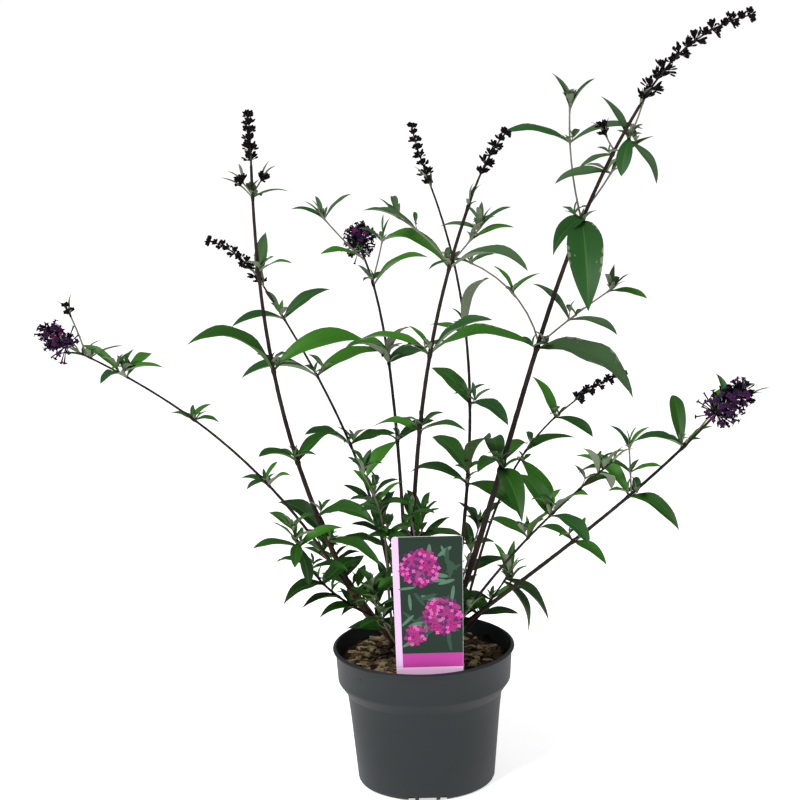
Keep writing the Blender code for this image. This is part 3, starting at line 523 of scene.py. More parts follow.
NOTCH = (12.0, 40.0, 4.5)
NOTCH_RIB = 4.0
RIB_SPREAD = 11.0
bays = [(-20.0, -RIB_SPREAD - NOTCH_RIB / 2), (-RIB_SPREAD + NOTCH_RIB / 2, RIB_SPREAD - NOTCH_RIB / 2),
        (RIB_SPREAD + NOTCH_RIB / 2, 20.0)]
cutter_mesh = bpy.data.meshes.new("notch_cutter")
cutter_bm = bmesh.new()
for quarter in range(4):
    spin = Matrix.Rotation(math.radians(270 + 90 * quarter), 4, "Z")
    for low, high in bays:
        size = Matrix.Diagonal((NOTCH[0] * MM, (high - low) * MM, NOTCH[2] * 2 * MM, 1.0))
        move = Matrix.Translation((68.0 * MM, (low + high) / 2 * MM, 0.0))
        bmesh.ops.create_cube(cutter_bm, size=1.0, matrix=spin @ move @ size)
cutter_bm.to_mesh(cutter_mesh)
cutter_bm.free()
cutter = bpy.data.objects.new("notch_cutter", cutter_mesh)
bpy.context.scene.collection.objects.link(cutter)
notches = pot.modifiers.new("notches", "BOOLEAN")
notches.operation = "DIFFERENCE"
notches.object = cutter
graph = bpy.context.evaluated_depsgraph_get()
cut_pot = bpy.data.meshes.new_from_object(pot.evaluated_get(graph))
pot.modifiers.remove(notches)
pot.data = cut_pot
bpy.data.objects.remove(cutter, do_unlink=True)
pot.data.shade_smooth()
pot.data.set_sharp_from_angle(angle=math.radians(35))
placed(pot, "pot", "pot")
print("pot faces:", len(pot.data.polygons))

# %% [markdown]
# ## Potting mix and bark chips
# The mix is one uneven disc. The chips are strewn over it by Geometry Nodes, because they repeat: points on
# the surface, a chip on each, turned and sized at random and then made real. Placing each chip in a loop
# would also do, but density and seed are easier to try as named inputs.

# %% Potting mix
MIX_RINGS = 26
MIX_SEGMENTS = 96
MIX_RADIUS = 89.2


def mix_height(x, y):
    """The height of the mix's surface in millimetres, level near the middle and a little sunk at the rim."""
    far = math.hypot(x, y) / MIX_RADIUS
    rough = noise.fractal(Vector((x / 11, y / 11, 3.7)), 0.7, 2.0, 4)
    return SOIL + 0.4 - 1.6 * far**3 + rough * 1.1


mix_points = [Vector((0, 0, mix_height(0, 0)))]
for ring in range(1, MIX_RINGS + 1):
    for k in range(MIX_SEGMENTS):
        angle = 2 * math.pi * k / MIX_SEGMENTS
        x, y = (math.cos(angle) * MIX_RADIUS * ring / MIX_RINGS, math.sin(angle) * MIX_RADIUS * ring / MIX_RINGS)
        mix_points.append(Vector((x, y, mix_height(x, y))))
last_ring = 1 + (MIX_RINGS - 1) * MIX_SEGMENTS
mix_points += [Vector((p.x, p.y, SOIL - 12)) for p in mix_points[last_ring:]]
mix_points.append(Vector((0, 0, SOIL - 12)))
mix_faces = [(0, 1 + k, 1 + (k + 1) % MIX_SEGMENTS) for k in range(MIX_SEGMENTS)]
for ring in range(MIX_RINGS):
    low, high = 1 + ring * MIX_SEGMENTS, 1 + (ring + 1) * MIX_SEGMENTS
    for k in range(MIX_SEGMENTS):
        j = (k + 1) % MIX_SEGMENTS
        mix_faces.append((low + k, high + k, high + j, low + j))
last = len(mix_points) - 1
mix_faces += [(last, last - MIX_SEGMENTS + (k + 1) % MIX_SEGMENTS, last - MIX_SEGMENTS + k)
              for k in range(MIX_SEGMENTS)]
mix_heap = Heap([peat])
mix_heap.put(mix_points, mix_faces, 0)
mix = placed(mix_heap.build("potting_mix_surface"), "potting_mix", "potting_mix")

# %% Bark chips
LABEL_CLEAR = (-38.0, 50.0, -72.0)


def chip_mesh(name, size, seed):
    """A flat, broken piece of bark in metres: a block whose corners are pushed about."""
    rng = random.Random(seed)
    bm = bmesh.new()
    bmesh.ops.create_cube(bm, size=1.0)
    bmesh.ops.subdivide_edges(bm, edges=bm.edges, cuts=1, use_grid_fill=True)
    for vert in bm.verts:
        push = Vector((rng.uniform(-0.12, 0.12), rng.uniform(-0.16, 0.16), rng.uniform(-0.16, 0.16)))
        taper = 1 - 0.5 * abs(vert.co.x)
        vert.co = Vector(((vert.co.x + push.x) * size[0], (vert.co.y + push.y) * size[1] * taper,
                          (vert.co.z + push.z) * size[2])) * MM
    mesh = bpy.data.meshes.new(name)
    bm.to_mesh(mesh)
    bm.free()
    return bpy.data.objects.new(name, mesh)


def chip_tree(shapes, paint):
    """Geometry Nodes that strew one of several chips over a surface."""
    tree = bpy.data.node_groups.new("strewn_chips", "GeometryNodeTree")
    tree.interface.new_socket("Geometry", in_out="INPUT", socket_type="NodeSocketGeometry")
    tree.interface.new_socket("Geometry", in_out="OUTPUT", socket_type="NodeSocketGeometry")
    for name in ("Density", "Seed"):
        kind = "NodeSocketFloat" if name == "Density" else "NodeSocketInt"
        tree.interface.new_socket(name, in_out="INPUT", socket_type=kind)
    inputs = add(tree, "NodeGroupInput")
    spread = add(tree, "GeometryNodeDistributePointsOnFaces", Mesh=inputs.outputs["Geometry"],
                 Density=inputs.outputs["Density"], Seed=inputs.outputs["Seed"])
    turn = add(tree, "FunctionNodeRandomValue", {"data_type": "FLOAT_VECTOR"}, Seed=inputs.outputs["Seed"])
    turn.inputs["Min"].default_value = (-0.35, -0.3, -math.pi)
    turn.inputs["Max"].default_value = (0.35, 0.3, math.pi)
    grow = add(tree, "FunctionNodeRandomValue", {"data_type": "FLOAT"}, Seed=inputs.outputs["Seed"])
    grow.inputs[2].default_value = 0.6
    grow.inputs[3].default_value = 1.25
    pick = add(tree, "FunctionNodeRandomValue", {"data_type": "INT"}, Seed=inputs.outputs["Seed"])
    pick.inputs[4].default_value = 0
    pick.inputs[5].default_value = len(shapes) - 1
    parts = tree.nodes.new("GeometryNodeGeometryToInstance")
    for shape in reversed(shapes):
        info = add(tree, "GeometryNodeObjectInfo", Object=shape, As_Instance=True)
        tree.links.new(info.outputs["Geometry"], parts.inputs[0])
    chips = add(tree, "GeometryNodeInstanceOnPoints", Points=spread.outputs["Points"],
                Instance=parts.outputs[0], Pick_Instance=True, Instance_Index=pick.outputs[2],
                Rotation=turn.outputs[0], Scale=grow.outputs[1])
    real = add(tree, "GeometryNodeRealizeInstances", Geometry=chips.outputs["Instances"])
    painted = add(tree, "GeometryNodeSetMaterial", Geometry=real.outputs["Geometry"], Material=paint)
    add(tree, "NodeGroupOutput", Geometry=painted.outputs["Geometry"])
    return tree


CHIPS = (("tan", (15.0, 7.5, 3.2), 9000.0, 11), ("brown", (13.0, 7.0, 3.0), 12000.0, 23), ("wet", (11.0, 6.5, 3.0), 9000.0, 37))
host_faces = [face for face in mix_faces if all(
    mix_points[i].length > 0 and math.hypot(mix_points[i].x, mix_points[i].y) < 80
    and not (abs(mix_points[i].x - 5.5) < 46 and mix_points[i].y < -66) and mix_points[i].z > SOIL - 10 for i in face)]
for (label, size, density, seed), paint in zip(CHIPS, chip_paints):
    host_mesh = bpy.data.meshes.new("chip_host")
    host_mesh.from_pydata([tuple(p * MM) for p in mix_points], [], host_faces)
    host = bpy.data.objects.new("chip_host", host_mesh)
    bpy.context.scene.collection.objects.link(host)
    shapes = [chip_mesh(f"chip_shape_{label}_{k}", (size[0] * (0.8 + 0.2 * k), size[1], size[2]), seed + k)
              for k in range(4)]
    strewn = host.modifiers.new("chips", "NODES")
    tree = chip_tree(shapes, paint)
    strewn.node_group = tree
    sockets = {item.name: item.identifier for item in tree.interface.items_tree if item.item_type == "SOCKET"}
    strewn[sockets["Density"]] = density
    strewn[sockets["Seed"]] = seed
    graph = bpy.context.evaluated_depsgraph_get()
    chips_mesh = bpy.data.meshes.new_from_object(host.evaluated_get(graph))
    bpy.data.objects.remove(host, do_unlink=True)
    for shape in shapes:
        bpy.data.objects.remove(shape, do_unlink=True)
    chips = bpy.data.objects.new("bark_chips_" + label, chips_mesh)
    bpy.context.scene.collection.objects.link(chips)
    placed(chips, "potting_mix", "potting_mix")
    print(chips.name, "faces:", len(chips_mesh.polygons))

# %% [markdown]
# ## The plant label
# A card on a stake. Its picture is a plain pattern of rosettes and leaves, laid on as thin printed shapes,
# so the colours have crisp edges without any image. The bands below it are plain.

# %% Label
LABEL_TOP = 291.0
LABEL_FOOT = 140.0
LABEL_TOP_WIDTH = 72.0
LABEL_FOOT_WIDTH = 68.0
LABEL_CENTRE_X = 5.5
LABEL_Y = -78.5
LABEL_THICKNESS = 1.0
LABEL_CORNER = 3.0
STAKE_WIDTH = 12.0
STAKE_DEPTH = 30.0
PRINT_LIFT = 0.06

paint_names = list(card_paints)
label_heap = Heap(card_paints.values())
half_top, half_foot, half_stake = LABEL_TOP_WIDTH / 2, LABEL_FOOT_WIDTH / 2, STAKE_WIDTH / 2 - 0.4
outline = [(-half_stake, SOIL - STAKE_DEPTH + 8), (0, SOIL - STAKE_DEPTH), (half_stake, SOIL - STAKE_DEPTH + 8),
           (half_stake, SOIL + 1.5), (half_foot, LABEL_FOOT)]
outline += rounded_corner((half_top - LABEL_CORNER, LABEL_TOP - LABEL_CORNER), LABEL_CORNER, 0, 90, 6)
outline += rounded_corner((-half_top + LABEL_CORNER, LABEL_TOP - LABEL_CORNER), LABEL_CORNER, 90, 180, 6)
outline += [(-half_foot, LABEL_FOOT), (-half_stake, SOIL + 1.5)]


def card(outline, front, back, paint):
    """A flat plate between two distances from the front of the label, from an outline turning left."""
    count = len(outline)
    points = [Vector((LABEL_CENTRE_X + x, LABEL_Y + y, z)) for y in (front, back) for x, z in outline]
    faces = [tuple(range(count)), tuple(reversed(range(count, 2 * count)))]
    faces += [(k, k + count, (k + 1) % count + count, (k + 1) % count) for k in range(count)]
    label_heap.put(points, faces, paint_names.index(paint))


def edge_x(height, side):
    """The label's edge at a height, a little inside the card."""
    share = (height - LABEL_FOOT) / (LABEL_TOP - LABEL_FOOT)
    return side * (half_foot + (half_top - half_foot) * share - 0.2)


def panel(low, high, left, right, paint, lift=1.0):
    """A printed panel; left and right are distances in from the two edges."""
    corners = [(edge_x(low, -1) + left, low), (edge_x(low, 1) - right, low),
               (edge_x(high, 1) - right, high), (edge_x(high, -1) + left, high)]
    card(corners, -LABEL_THICKNESS / 2 - PRINT_LIFT * lift, -LABEL_THICKNESS / 2 + 0.1, paint)


card(outline, -LABEL_THICKNESS / 2, LABEL_THICKNESS / 2, "card")
BAND = (LABEL_FOOT + 11, LABEL_FOOT + 26)
MARGIN = 6.5
panel(LABEL_FOOT + 0.3, BAND[0], 0, 0, "foot")
panel(BAND[0], BAND[1], MARGIN, 0, "band")
panel(BAND[0], LABEL_TOP - LABEL_CORNER, 0, LABEL_FOOT_WIDTH - MARGIN - 1.5, "lilac", 0.5)
panel(BAND[1], LABEL_TOP - LABEL_CORNER, MARGIN, 0, "ground")
top = LABEL_TOP - LABEL_CORNER - 0.1
corner = rounded_corner((half_top - LABEL_CORNER - 0.2, top), LABEL_CORNER, 0, 90, 6)
card([(MARGIN - half_top + 0.2, top)] + corner + [(MARGIN - half_top + 0.2, top + LABEL_CORNER)],
     -LABEL_THICKNESS / 2 - PRINT_LIFT, -LABEL_THICKNESS / 2 + 0.1, "ground")
corner = rounded_corner((LABEL_CORNER + 0.2 - half_top, top), LABEL_CORNER, 90, 180, 6)
card([(MARGIN - half_top + 0.2, top), (MARGIN - half_top + 0.2, top + LABEL_CORNER)] + corner,
     -LABEL_THICKNESS / 2 - PRINT_LIFT, -LABEL_THICKNESS / 2 + 0.1, "lilac")


def petal(centre, angle, near, far, width, lift, paint):
    """A printed oval that points away from a centre."""
    cos_a, sin_a = math.cos(angle), math.sin(angle)
    corners = []
    for k in range(10):
        turn = 2 * math.pi * k / 10
        x = (near + far) / 2 + (far - near) / 2 * math.cos(turn)
        y = width / 2 * math.sin(turn)
        corners.append((centre[0] + x * cos_a - y * sin_a, centre[1] + x * sin_a + y * cos_a))
    front = -LABEL_THICKNESS / 2 - PRINT_LIFT * lift
    card(corners, front, front + PRINT_LIFT / 2, paint)


picture = random.Random("label")
# Long leaves lie behind two round flower heads and a drift of loose florets.
for k in range(44):
    centre = (picture.uniform(-22, 26), picture.uniform(BAND[1] + 10, LABEL_TOP - 12))
    petal(centre, picture.uniform(0, 6.28), -9, 9, picture.uniform(3.0, 5.0), 1.2 + k * 0.03,
          picture.choice(("leaf", "shade")))
HEADS = ((-8.0, 258.0, 20.0, 95), (14.0, 206.0, 20.0, 95), (-14.0, 186.0, 11.0, 30))
for head_x, head_z, radius, count in HEADS:
    for k in range(count):
        far = radius * math.sqrt((k + 0.5) / count)
        angle = k * 2.39996
        centre = (head_x + far * math.cos(angle), head_z + far * math.sin(angle))
        tone = picture.choice(("bloom", "bloom", "light", "dusk"))
        start = picture.uniform(0, math.pi)
        for lobe in range(4):
            petal(centre, start + math.pi * lobe / 2, 0.2, 2.3, 1.9, 2.8 + (k * 4 + lobe) * 0.005, tone)
label = placed(label_heap.build("plant_label_card", 30), "plant_label", "plant_label")

# %% [markdown]
# ## Wood
# Stems are long tapering tubes that swell where leaves join them. Their relief is pushed into the mesh, as
# fine ridges that run along the stem, because a bump alone would leave the outline too smooth up close.


# %% Wood builders
def bar(heap, points, start, end, radii, sides, step, slot, rough=0.06, knots=()):
    """A tapering stem along a path between two distances, with ridges and with swellings at the knots."""
    steps = max(2, round((end - start) / step))
    side = direction(0, 90)
    rows, faces = [], []
    for i in range(steps + 1):
        distance = start + (end - start) * i / steps
        place, way = along(points, distance)
        side = (side - way * side.dot(way)).normalized()
        across = way.cross(side)
        swell = 1 + sum(0.42 * math.exp(-(((distance - knot) / 2.4) ** 2)) for knot in knots)
        radius = (radii[0] + (radii[1] - radii[0]) * i / steps) * swell
        for k in range(sides):
            angle = 2 * math.pi * k / sides
            ridge = noise.noise(Vector((math.cos(angle) * 2.2, math.sin(angle) * 2.2, distance / 9 + start)))
            grain = noise.noise(place * 0.35 + Vector((k, 0, 0)))
            far = radius * (1 + rough * (ridge * 1.6 + grain))
            rows.append(place + side * (math.cos(angle) * far) + across * (math.sin(angle) * far))
    for i in range(steps):
        for k in range(sides):
            j = (k + 1) % sides
            faces.append((i * sides + k, i * sides + j, (i + 1) * sides + j, (i + 1) * sides + k))
    faces.append(tuple(reversed(range(sides))))
    faces.append(tuple(steps * sides + k for k in range(sides)))
    heap.put(rows, faces, slot)


def radii_between(stem, length, start, end):
    """The radii of a tapering stem at two distances."""
    return [(stem.girth[0] + (stem.girth[1] - stem.girth[0]) * d / length) / 2 for d in (start, end)]


# %% Woody base
BASE_LUMP = ((33.0, 25.0, 0.0), (32.0, 24.0, 3.0), (29.0, 22.0, 6.5), (25.5, 19.5, 10.0), (20.0, 15.5, 13.2),
             (12.0, 9.5, 16.5), (5.0, 4.0, 18.0))
BASE_SIDES = 64
base_heap = Heap([old_bark])
base_points = []
for rx, ry, z in BASE_LUMP:
    for k in range(BASE_SIDES):
        angle = 2 * math.pi * k / BASE_SIDES
        swell = 1 + 0.08 * math.sin(3 * angle + 1) + 0.05 * math.sin(5 * angle)
        swell += 0.07 * noise.noise(Vector((math.cos(angle) * 7, math.sin(angle) * 7, z / 14)))
        base_points.append(Vector((rx * swell * math.cos(angle), ry * swell * math.sin(angle), SOIL + GAP + z)))
base_faces = [tuple(reversed(range(BASE_SIDES)))]
for row in range(len(BASE_LUMP) - 1):
    for k in range(BASE_SIDES):
        j = (k + 1) % BASE_SIDES
        base_faces.append((row * BASE_SIDES + k, row * BASE_SIDES + j, (row + 1) * BASE_SIDES + j,
                           (row + 1) * BASE_SIDES + k))
base_faces.append(tuple((len(BASE_LUMP) - 1) * BASE_SIDES + k for k in range(BASE_SIDES)))
base_heap.put(base_points, base_faces, 0)


def old_spur(foot, out, girth):
    """A branch of old wood from inside the base to a stem's foot."""
    root = Vector((foot[0] * SPUR_ROOT, foot[1] * SPUR_ROOT, SOIL + 7))
    lean = math.degrees((Vector(foot) - root).angle(direction(0, 0)))
    at = bend_between(root, (math.degrees(math.atan2(foot[1], foot[0])), lean), foot, out)
    points = [at(i / 20) for i in range(21)]
    length = path_length(points)
    bar(base_heap, points, 0, length, (girth * 0.5 + 1.8, girth * 0.5 + 0.4), 14, 1.6, 0, 0.13, (length - 3,))


for stem in STEMS:
    old_spur(stem.foot, stem.out, stem.girth[0] * 1.25)
for tuft in TUFTS:
    old_spur(tuft.foot, tuft.out, 3.4)
placed(base_heap.build("woody_crown", 40), "woody_base", "woody_base")

# %% Limbs and shoots
limb_heap = Heap([young_wood, felted_wood])
shoot_heap = Heap([young_wood, felted_wood])
for stem in STEMS:
    points = path_of(stem)
    length = path_length(points)
    knots = [row[0] for row in stem.pairs + stem.bracts]
    bar(limb_heap, points, GAP, stem.split, radii_between(stem, length, GAP, stem.split), 12, 3.0, 0, 0.07, knots)
    bar(shoot_heap, points, stem.split, length, radii_between(stem, length, stem.split, length), 10, 2.6, 0,
        0.06, knots)
    for shoot in stem.shoots:
        radii = (LEAST_GIRTH / 2 + 0.2 * min(1.0, shoot.length / 120), LEAST_GIRTH / 2)
        bar(shoot_heap, shoot_path(points, shoot), 0, shoot.length, radii, 8, 2.4, 1, 0.05,
            [row[0] for row in shoot.pairs])
for tuft in TUFTS:
    points = path_of(tuft)
    bar(shoot_heap, points, GAP, path_length(points), (1.5, LEAST_GIRTH / 2), 8, 2.6, 1, 0.05)
stem_nodes = ["stem_" + stem.name for stem in STEMS]
mass_nodes = ["foliage_" + stem.name for stem in STEMS] + ["tuft_" + tuft.name for tuft in TUFTS]
placed(limb_heap.build("limbs_bark", 60), "stem", *stem_nodes)

# %% [markdown]
# ## Leaves
# A blade is a small grid bent along its spine: folded at the midrib, waved at its edges, green above and
# felted below. The solid of each leaf shows which way it was turned aside to keep clear of its neighbours,
# so the same turn is found again by testing where its tip would lie.

# %% Leaf blades
LEAF_ROWS = 14
SMALL_LEAF_ROWS = 8
COLUMNS = (-1.0, -0.78, -0.42, -0.045, 0.045, 0.42, 0.78, 1.0)
SMALL_COLUMNS = (-1.0, -0.5, -0.07, 0.07, 0.5, 1.0)
SHORT_BLADE = 26.0
LOW_SHARE = (0.9, 1.12)
TOP_SHARE = (0.66, 0.86)
SHARE_HEIGHTS = (330.0, 470.0)
HANGING_SHARE = 1.2
HANGING_RISE = -20.0
ROLL_SHARE = 0.7
FOLD = (0.2, 0.6)
CURL = (0.0, 18.0)
CURL_FROM = 0.55
UPPER, RIB, LOWER = range(3)


def leaf_outline(t, widest):
    """Half width of a leaf at 0 to 1 of its length, with 1 at its widest place."""
    return (t / widest) ** (2.1 * widest) * ((1 - t) / (1 - widest)) ** (2.1 * (1 - widest))


def spine_of(base, heading, rise, length, steps):
    bend = LEAF_BEND * min(BEND_SHARE[1], max(BEND_SHARE[0], length / BEND_LENGTH))
    return arch(base, heading, (90 - rise - bend, 90 - rise + bend), length, steps)


def curled(spine, heading, angle):
    """The same spine with its far end turned down by up to an angle in degrees."""
    steps = len(spine) - 1
    axis = direction(heading + 90, 90)
    points = [spine[0]]
    for k in range(steps):
        part = max(0.0, (k + 1) / steps - CURL_FROM) / (1 - CURL_FROM)
        turn = Matrix.Rotation(math.radians(angle) * part, 3, axis)
        points.append(points[-1] + turn @ (spine[k + 1] - spine[k]))
    return points


def blade(heap, base, heading, rise, length, width, roll, tones, rng):
    """One leaf: a closed thin grid with its own fold and waves; tones are slots for above, rib and below."""
    rows = LEAF_ROWS if length > SHORT_BLADE else SMALL_LEAF_ROWS
    columns = COLUMNS if length > SHORT_BLADE else SMALL_COLUMNS
    spine = curled(spine_of(base, heading, rise, length, rows), heading, rng.uniform(*CURL))
    side = Matrix.Rotation(math.radians(roll), 3, direction(heading, 90 - rise)) @ direction(heading + 90, 90)
    fold = rng.uniform(*FOLD)
    widest = rng.uniform(0.38, 0.6)
    spread = math.cos(math.atan(fold))
    wave, phase, beats = rng.uniform(0.04, 0.13), rng.uniform(0, 6.28), rng.uniform(1.4, 2.8)
    thick = min(0.5, 0.15 + length / 250)
    count = len(columns)
    points, places, faces, slots = [], [], [], []
    for side_of in (0, 1):
        for row in range(rows + 1):
            t = row / rows
            place, way = along(spine, length * t)
            up = way.cross(side).normalized()
            half = max(0.75 * (1 - t) + 0.05, width * 0.5 * leaf_outline(t, widest)) * spread
            for s in columns:
                lift = fold * abs(s) * half
                lift += wave * half * s * s * math.sin(phase + beats * 6.28 * t + (1.7 if s > 0 else 0.0))
                if side_of:
                    rib = 0.9 * (1 - t) if abs(s) < 0.1 else 0.0
                    lift -= (thick * (1 - s * s) + rib) * min(1.0, (1 - t) * 6)
                points.append(place + side * (half * s) + up * lift)
                places.append((s * 0.5 + 0.5, t * length / 100))
    lower = (rows + 1) * count
    for row in range(rows):
        for k in range(count - 1):
            a, b = row * count + k, (row + 1) * count + k
            rib = count // 2 - 1 == k
            faces.append((a, b, b + 1, a + 1))
            slots.append(tones[RIB] if rib else tones[UPPER])
            faces.append(tuple(lower + i for i in (a + 1, b + 1, b, a)))
            slots.append(tones[LOWER])
    heap.put(points, faces, slots, places)


def surface_of(names):
    """A search tree over the surfaces of some CAD nodes, in millimetres."""
    points, faces = [], []
    for name in names:
        mesh = nodes[name].data
        base = len(points)
        points += [v.co / MM for v in mesh.vertices]
        faces += [[base + i for i in p.vertices] for p in mesh.polygons]
    return BVHTree.FromPolygons(points, faces)


class Finder:
    """The surface of a CAD node, to see where its leaves went and how far it reaches."""

    def __init__(self, node):
        self.tree = surface_of([node])

    def distance(self, place):
        return self.tree.find_nearest(place)[3]

    def turn_of(self, base, heading, rise, length):
        """How far a leaf was turned aside, or None where its solid has no such leaf."""
        middle = LEAF_STATION if length > SMALL_LEAF else SMALL_LEAF_STATION
        for nudge in NUDGES:
            spine = spine_of(base, heading + nudge, rise, length, ARCH_STEPS)
            if self.distance(along(spine, length * middle)[0]) < 1.2 and self.distance(spine[-1]) < 0.8:
                return nudge
        return None


LEAF_SLOTS = blade_paints + [midrib_paint] + felt_paints
RIB_SLOT = len(blade_paints)
leaf_heap = Heap(LEAF_SLOTS)
axil_heap = Heap(LEAF_SLOTS)
limb_surface = surface_of(stem_nodes)
tally = {"leaves": 0, "turned": 0, "missing": 0, "small": 0, "skipped": 0}
REACH_OUT = 24.0
LIMB_CLEAR = 2.0
# How the axils fill: the least leaf that carries a twig, the chance of one, and the length of its leaves.
Fill = namedtuple("Fill", "least chance reach")
STEM_FILL = Fill(42.0, 0.8, (15.0, 27.0))
TUFT_FILL = Fill(28.0, 1.0, (20.0, 32.0))


def tones_at(place, length, rng):
    """Deep green low on the bush, grey green in its tops and in its smallest leaves."""
    age = (place.z - 160) / 480 + (0.2 if length < 35 else 0.0) + rng.uniform(-0.35, 0.35)
    tone = 0 if age < 0.12 else 1 if age < 0.4 else 2 if age < 0.62 else 3 if age < 0.9 else 4
    return tone, RIB_SLOT, RIB_SLOT + (1 if tone < 2 else 2)


def small_leaf(finder, base, heading, rise, length, ratio, rng):
    """A leaf that the solids leave out, kept within the mass's reach and off the limbs."""
    spine = spine_of(base, heading, rise, length, ARCH_STEPS)
    tip, middle = spine[-1], spine[ARCH_STEPS // 2]
    near = min(limb_surface.find_nearest(place)[3] for place in (tip, middle))
    if finder.distance(tip) > REACH_OUT or near < LIMB_CLEAR:
        tally["skipped"] += 1
        return
    tally["small"] += 1
    blade(axil_heap, base, heading, rise, length, length * ratio, rng.uniform(-25, 25), tones_at(base, length, rng), rng)


def axil_shoot(finder, base, heading, rise, reach, rng):
    """A short twig from a leaf's axil, with a pair of small leaves at its tip and a slender one above."""
    lean = 90 - rise - rng.uniform(28, 46)
    heading += rng.uniform(-25, 25)
    length = reach * rng.uniform(0.2, 0.5)
    twig = arch(base, heading, (lean, lean - 15), length, 3)
    bar(shoot_heap, twig, 0, length, (0.7, 0.45), 5, 3.0, 1, 0.05)
    turn = heading + rng.uniform(50, 130)
    for other in (0, 180):
        small_leaf(finder, twig[-1], turn + other, rng.uniform(5, 45), reach * rng.uniform(0.8, 1.15), 0.33, rng)
    small_leaf(finder, twig[-1], turn + 90, rng.uniform(50, 75), reach * rng.uniform(0.5, 0.8), 0.26, rng)


def young_leaves(finder, tip, way, count, reach, rng):
    """Slender young leaves that stand round a growing tip or under a flower head."""
    for k in range(count):
        turn = 360 * k / count + rng.uniform(-30, 30)
        aim = (way + direction(turn, 90) * rng.uniform(0.15, 0.5)).normalized()
        heading = math.degrees(math.atan2(aim.y, aim.x))
        rise = math.degrees(math.asin(max(-1.0, min(1.0, aim.z))))
        small_leaf(finder, tip, heading, rise, reach * rng.uniform(0.6, 1.1), 0.13, rng)


def blade_share(place, rise, rng):
    """How broad a blade is next to its solid: broad low down and where it hangs, slender in the tops."""
    if rise < HANGING_RISE:
        return HANGING_SHARE
    part = min(1.0, max(0.0, (place.z - SHARE_HEIGHTS[0]) / (SHARE_HEIGHTS[1] - SHARE_HEIGHTS[0])))
    return rng.uniform(*LOW_SHARE) * (1 - part) + rng.uniform(*TOP_SHARE) * part


def grow_pairs(finder, points, pairs, ratio, rng, looks, fill=STEM_FILL):
    """The leaves of every pair row, with the short twigs and small leaves of their axils."""
    for distance, heading, length, rise, other_rise in pairs:
        base = along(points, distance)[0]
        turns = [(heading, rise)] if other_rise is None else [(heading, rise), (heading + 180, other_rise)]
        for turn, lift in turns:
            aim = turn + rng.uniform(-4, 4)
            lift += rng.uniform(-3, 3)
            roll = LEAF_TILT * direction(aim + 90, 90).y + rng.uniform(-16, 16)
            size = length * rng.uniform(0.96, 1.04)
            nudge = finder.turn_of(base, aim, lift, size)
            tally["leaves"] += 1
            if nudge is None:
                tally["missing"] += 1
                continue
            tally["turned"] += nudge != 0
            share = blade_share(base, lift, looks)
            blade(leaf_heap, base, aim + nudge, lift, size, size * ratio * share, roll * ROLL_SHARE,
                  tones_at(base, size, looks), looks)
            if size > fill.least and looks.random() < fill.chance:
                axil_shoot(finder, base, aim + nudge, lift, looks.uniform(*fill.reach), looks)
            elif size > 24:
                for side in (-1, 1):
                    small_leaf(finder, base, aim + side * looks.uniform(20, 60), looks.uniform(30, 62),
                               looks.uniform(10, 18), 0.3, looks)


for stem in STEMS:
    node = "foliage_" + stem.name
    rng, looks, finder = random.Random(node), random.Random(node + "_looks"), Finder(node)
    points = path_of(stem)
    grow_pairs(finder, points, stem.pairs, LEAF_WIDTH, rng, looks)
    grow_pairs(finder, points, stem.bracts, BRACT_WIDTH, rng, looks)
    for shoot in stem.shoots:
        path = shoot_path(points, shoot)
        grow_pairs(finder, path, shoot.pairs, LEAF_WIDTH, rng, looks)
        young_leaves(finder, *along(path, shoot.length), 2, 24, looks)
    young_leaves(finder, *along(points, path_length(points)), 3, 30, looks)
for tuft in TUFTS:
    node = "tuft_" + tuft.name
    looks, finder = random.Random(node + "_looks"), Finder(node)
    points = path_of(tuft)
    reach = path_length(points) - 2 - tuft.bare
    rows = []
    for k in range(tuft.pairs):
        part = k / (tuft.pairs - 1)
        lift = tuft.rise[0] + (tuft.rise[1] - tuft.rise[0]) * part
        rows.append((tuft.bare + reach * part, tuft.turn + 90 * k, tuft.leaf * (1 - 0.3 * part), lift, lift + 6))
    grow_pairs(finder, points, rows, LEAF_WIDTH, random.Random(node), looks, TUFT_FILL)
    young_leaves(finder, *along(points, path_length(points)), 3, 26, looks)
print("leaves:", tally)
placed(leaf_heap.build("leaves", 55), "foliage", *mass_nodes)
placed(axil_heap.build("axil_leaves", 55), "foliage", *mass_nodes)

# %% [markdown]
# ## Flower heads
# A closed head carries paired fans of dark buds, each pair across the last. An open one carries florets:
# a narrow dark tube that ends in four round lobes.

# %% Buds and florets
bud_heap = Heap([bud_paint, bud_stalk_paint])
petal_heap = Heap(petal_paints)


def head_path(start, way, head, steps):
    """The axis of a head, which goes on smoothly from the end of its shoot."""
    _, length, heading, lean, _, _ = head
    lean_now = math.degrees(math.acos(max(-1.0, min(1.0, way.z))))
    heading_now = math.degrees(math.atan2(way.y, way.x))
    turned_by = (heading - heading_now + 180) % 360 - 180
    points = [start - way * 2]
    for step in range(steps):
        part = ((step + 0.5) / steps) ** HEAD_BEND
        aim = direction(heading_now + turned_by * part, lean_now + (lean - lean_now) * part)
        points.append(points[-1] + aim * ((length + 2) / steps))
    return points


BUD_PROFILE = ((0.0, 0.25), (0.48, 0.3), (0.64, 0.85), (0.84, 1.0), (0.96, 0.55))
BUD_SIDES = 5


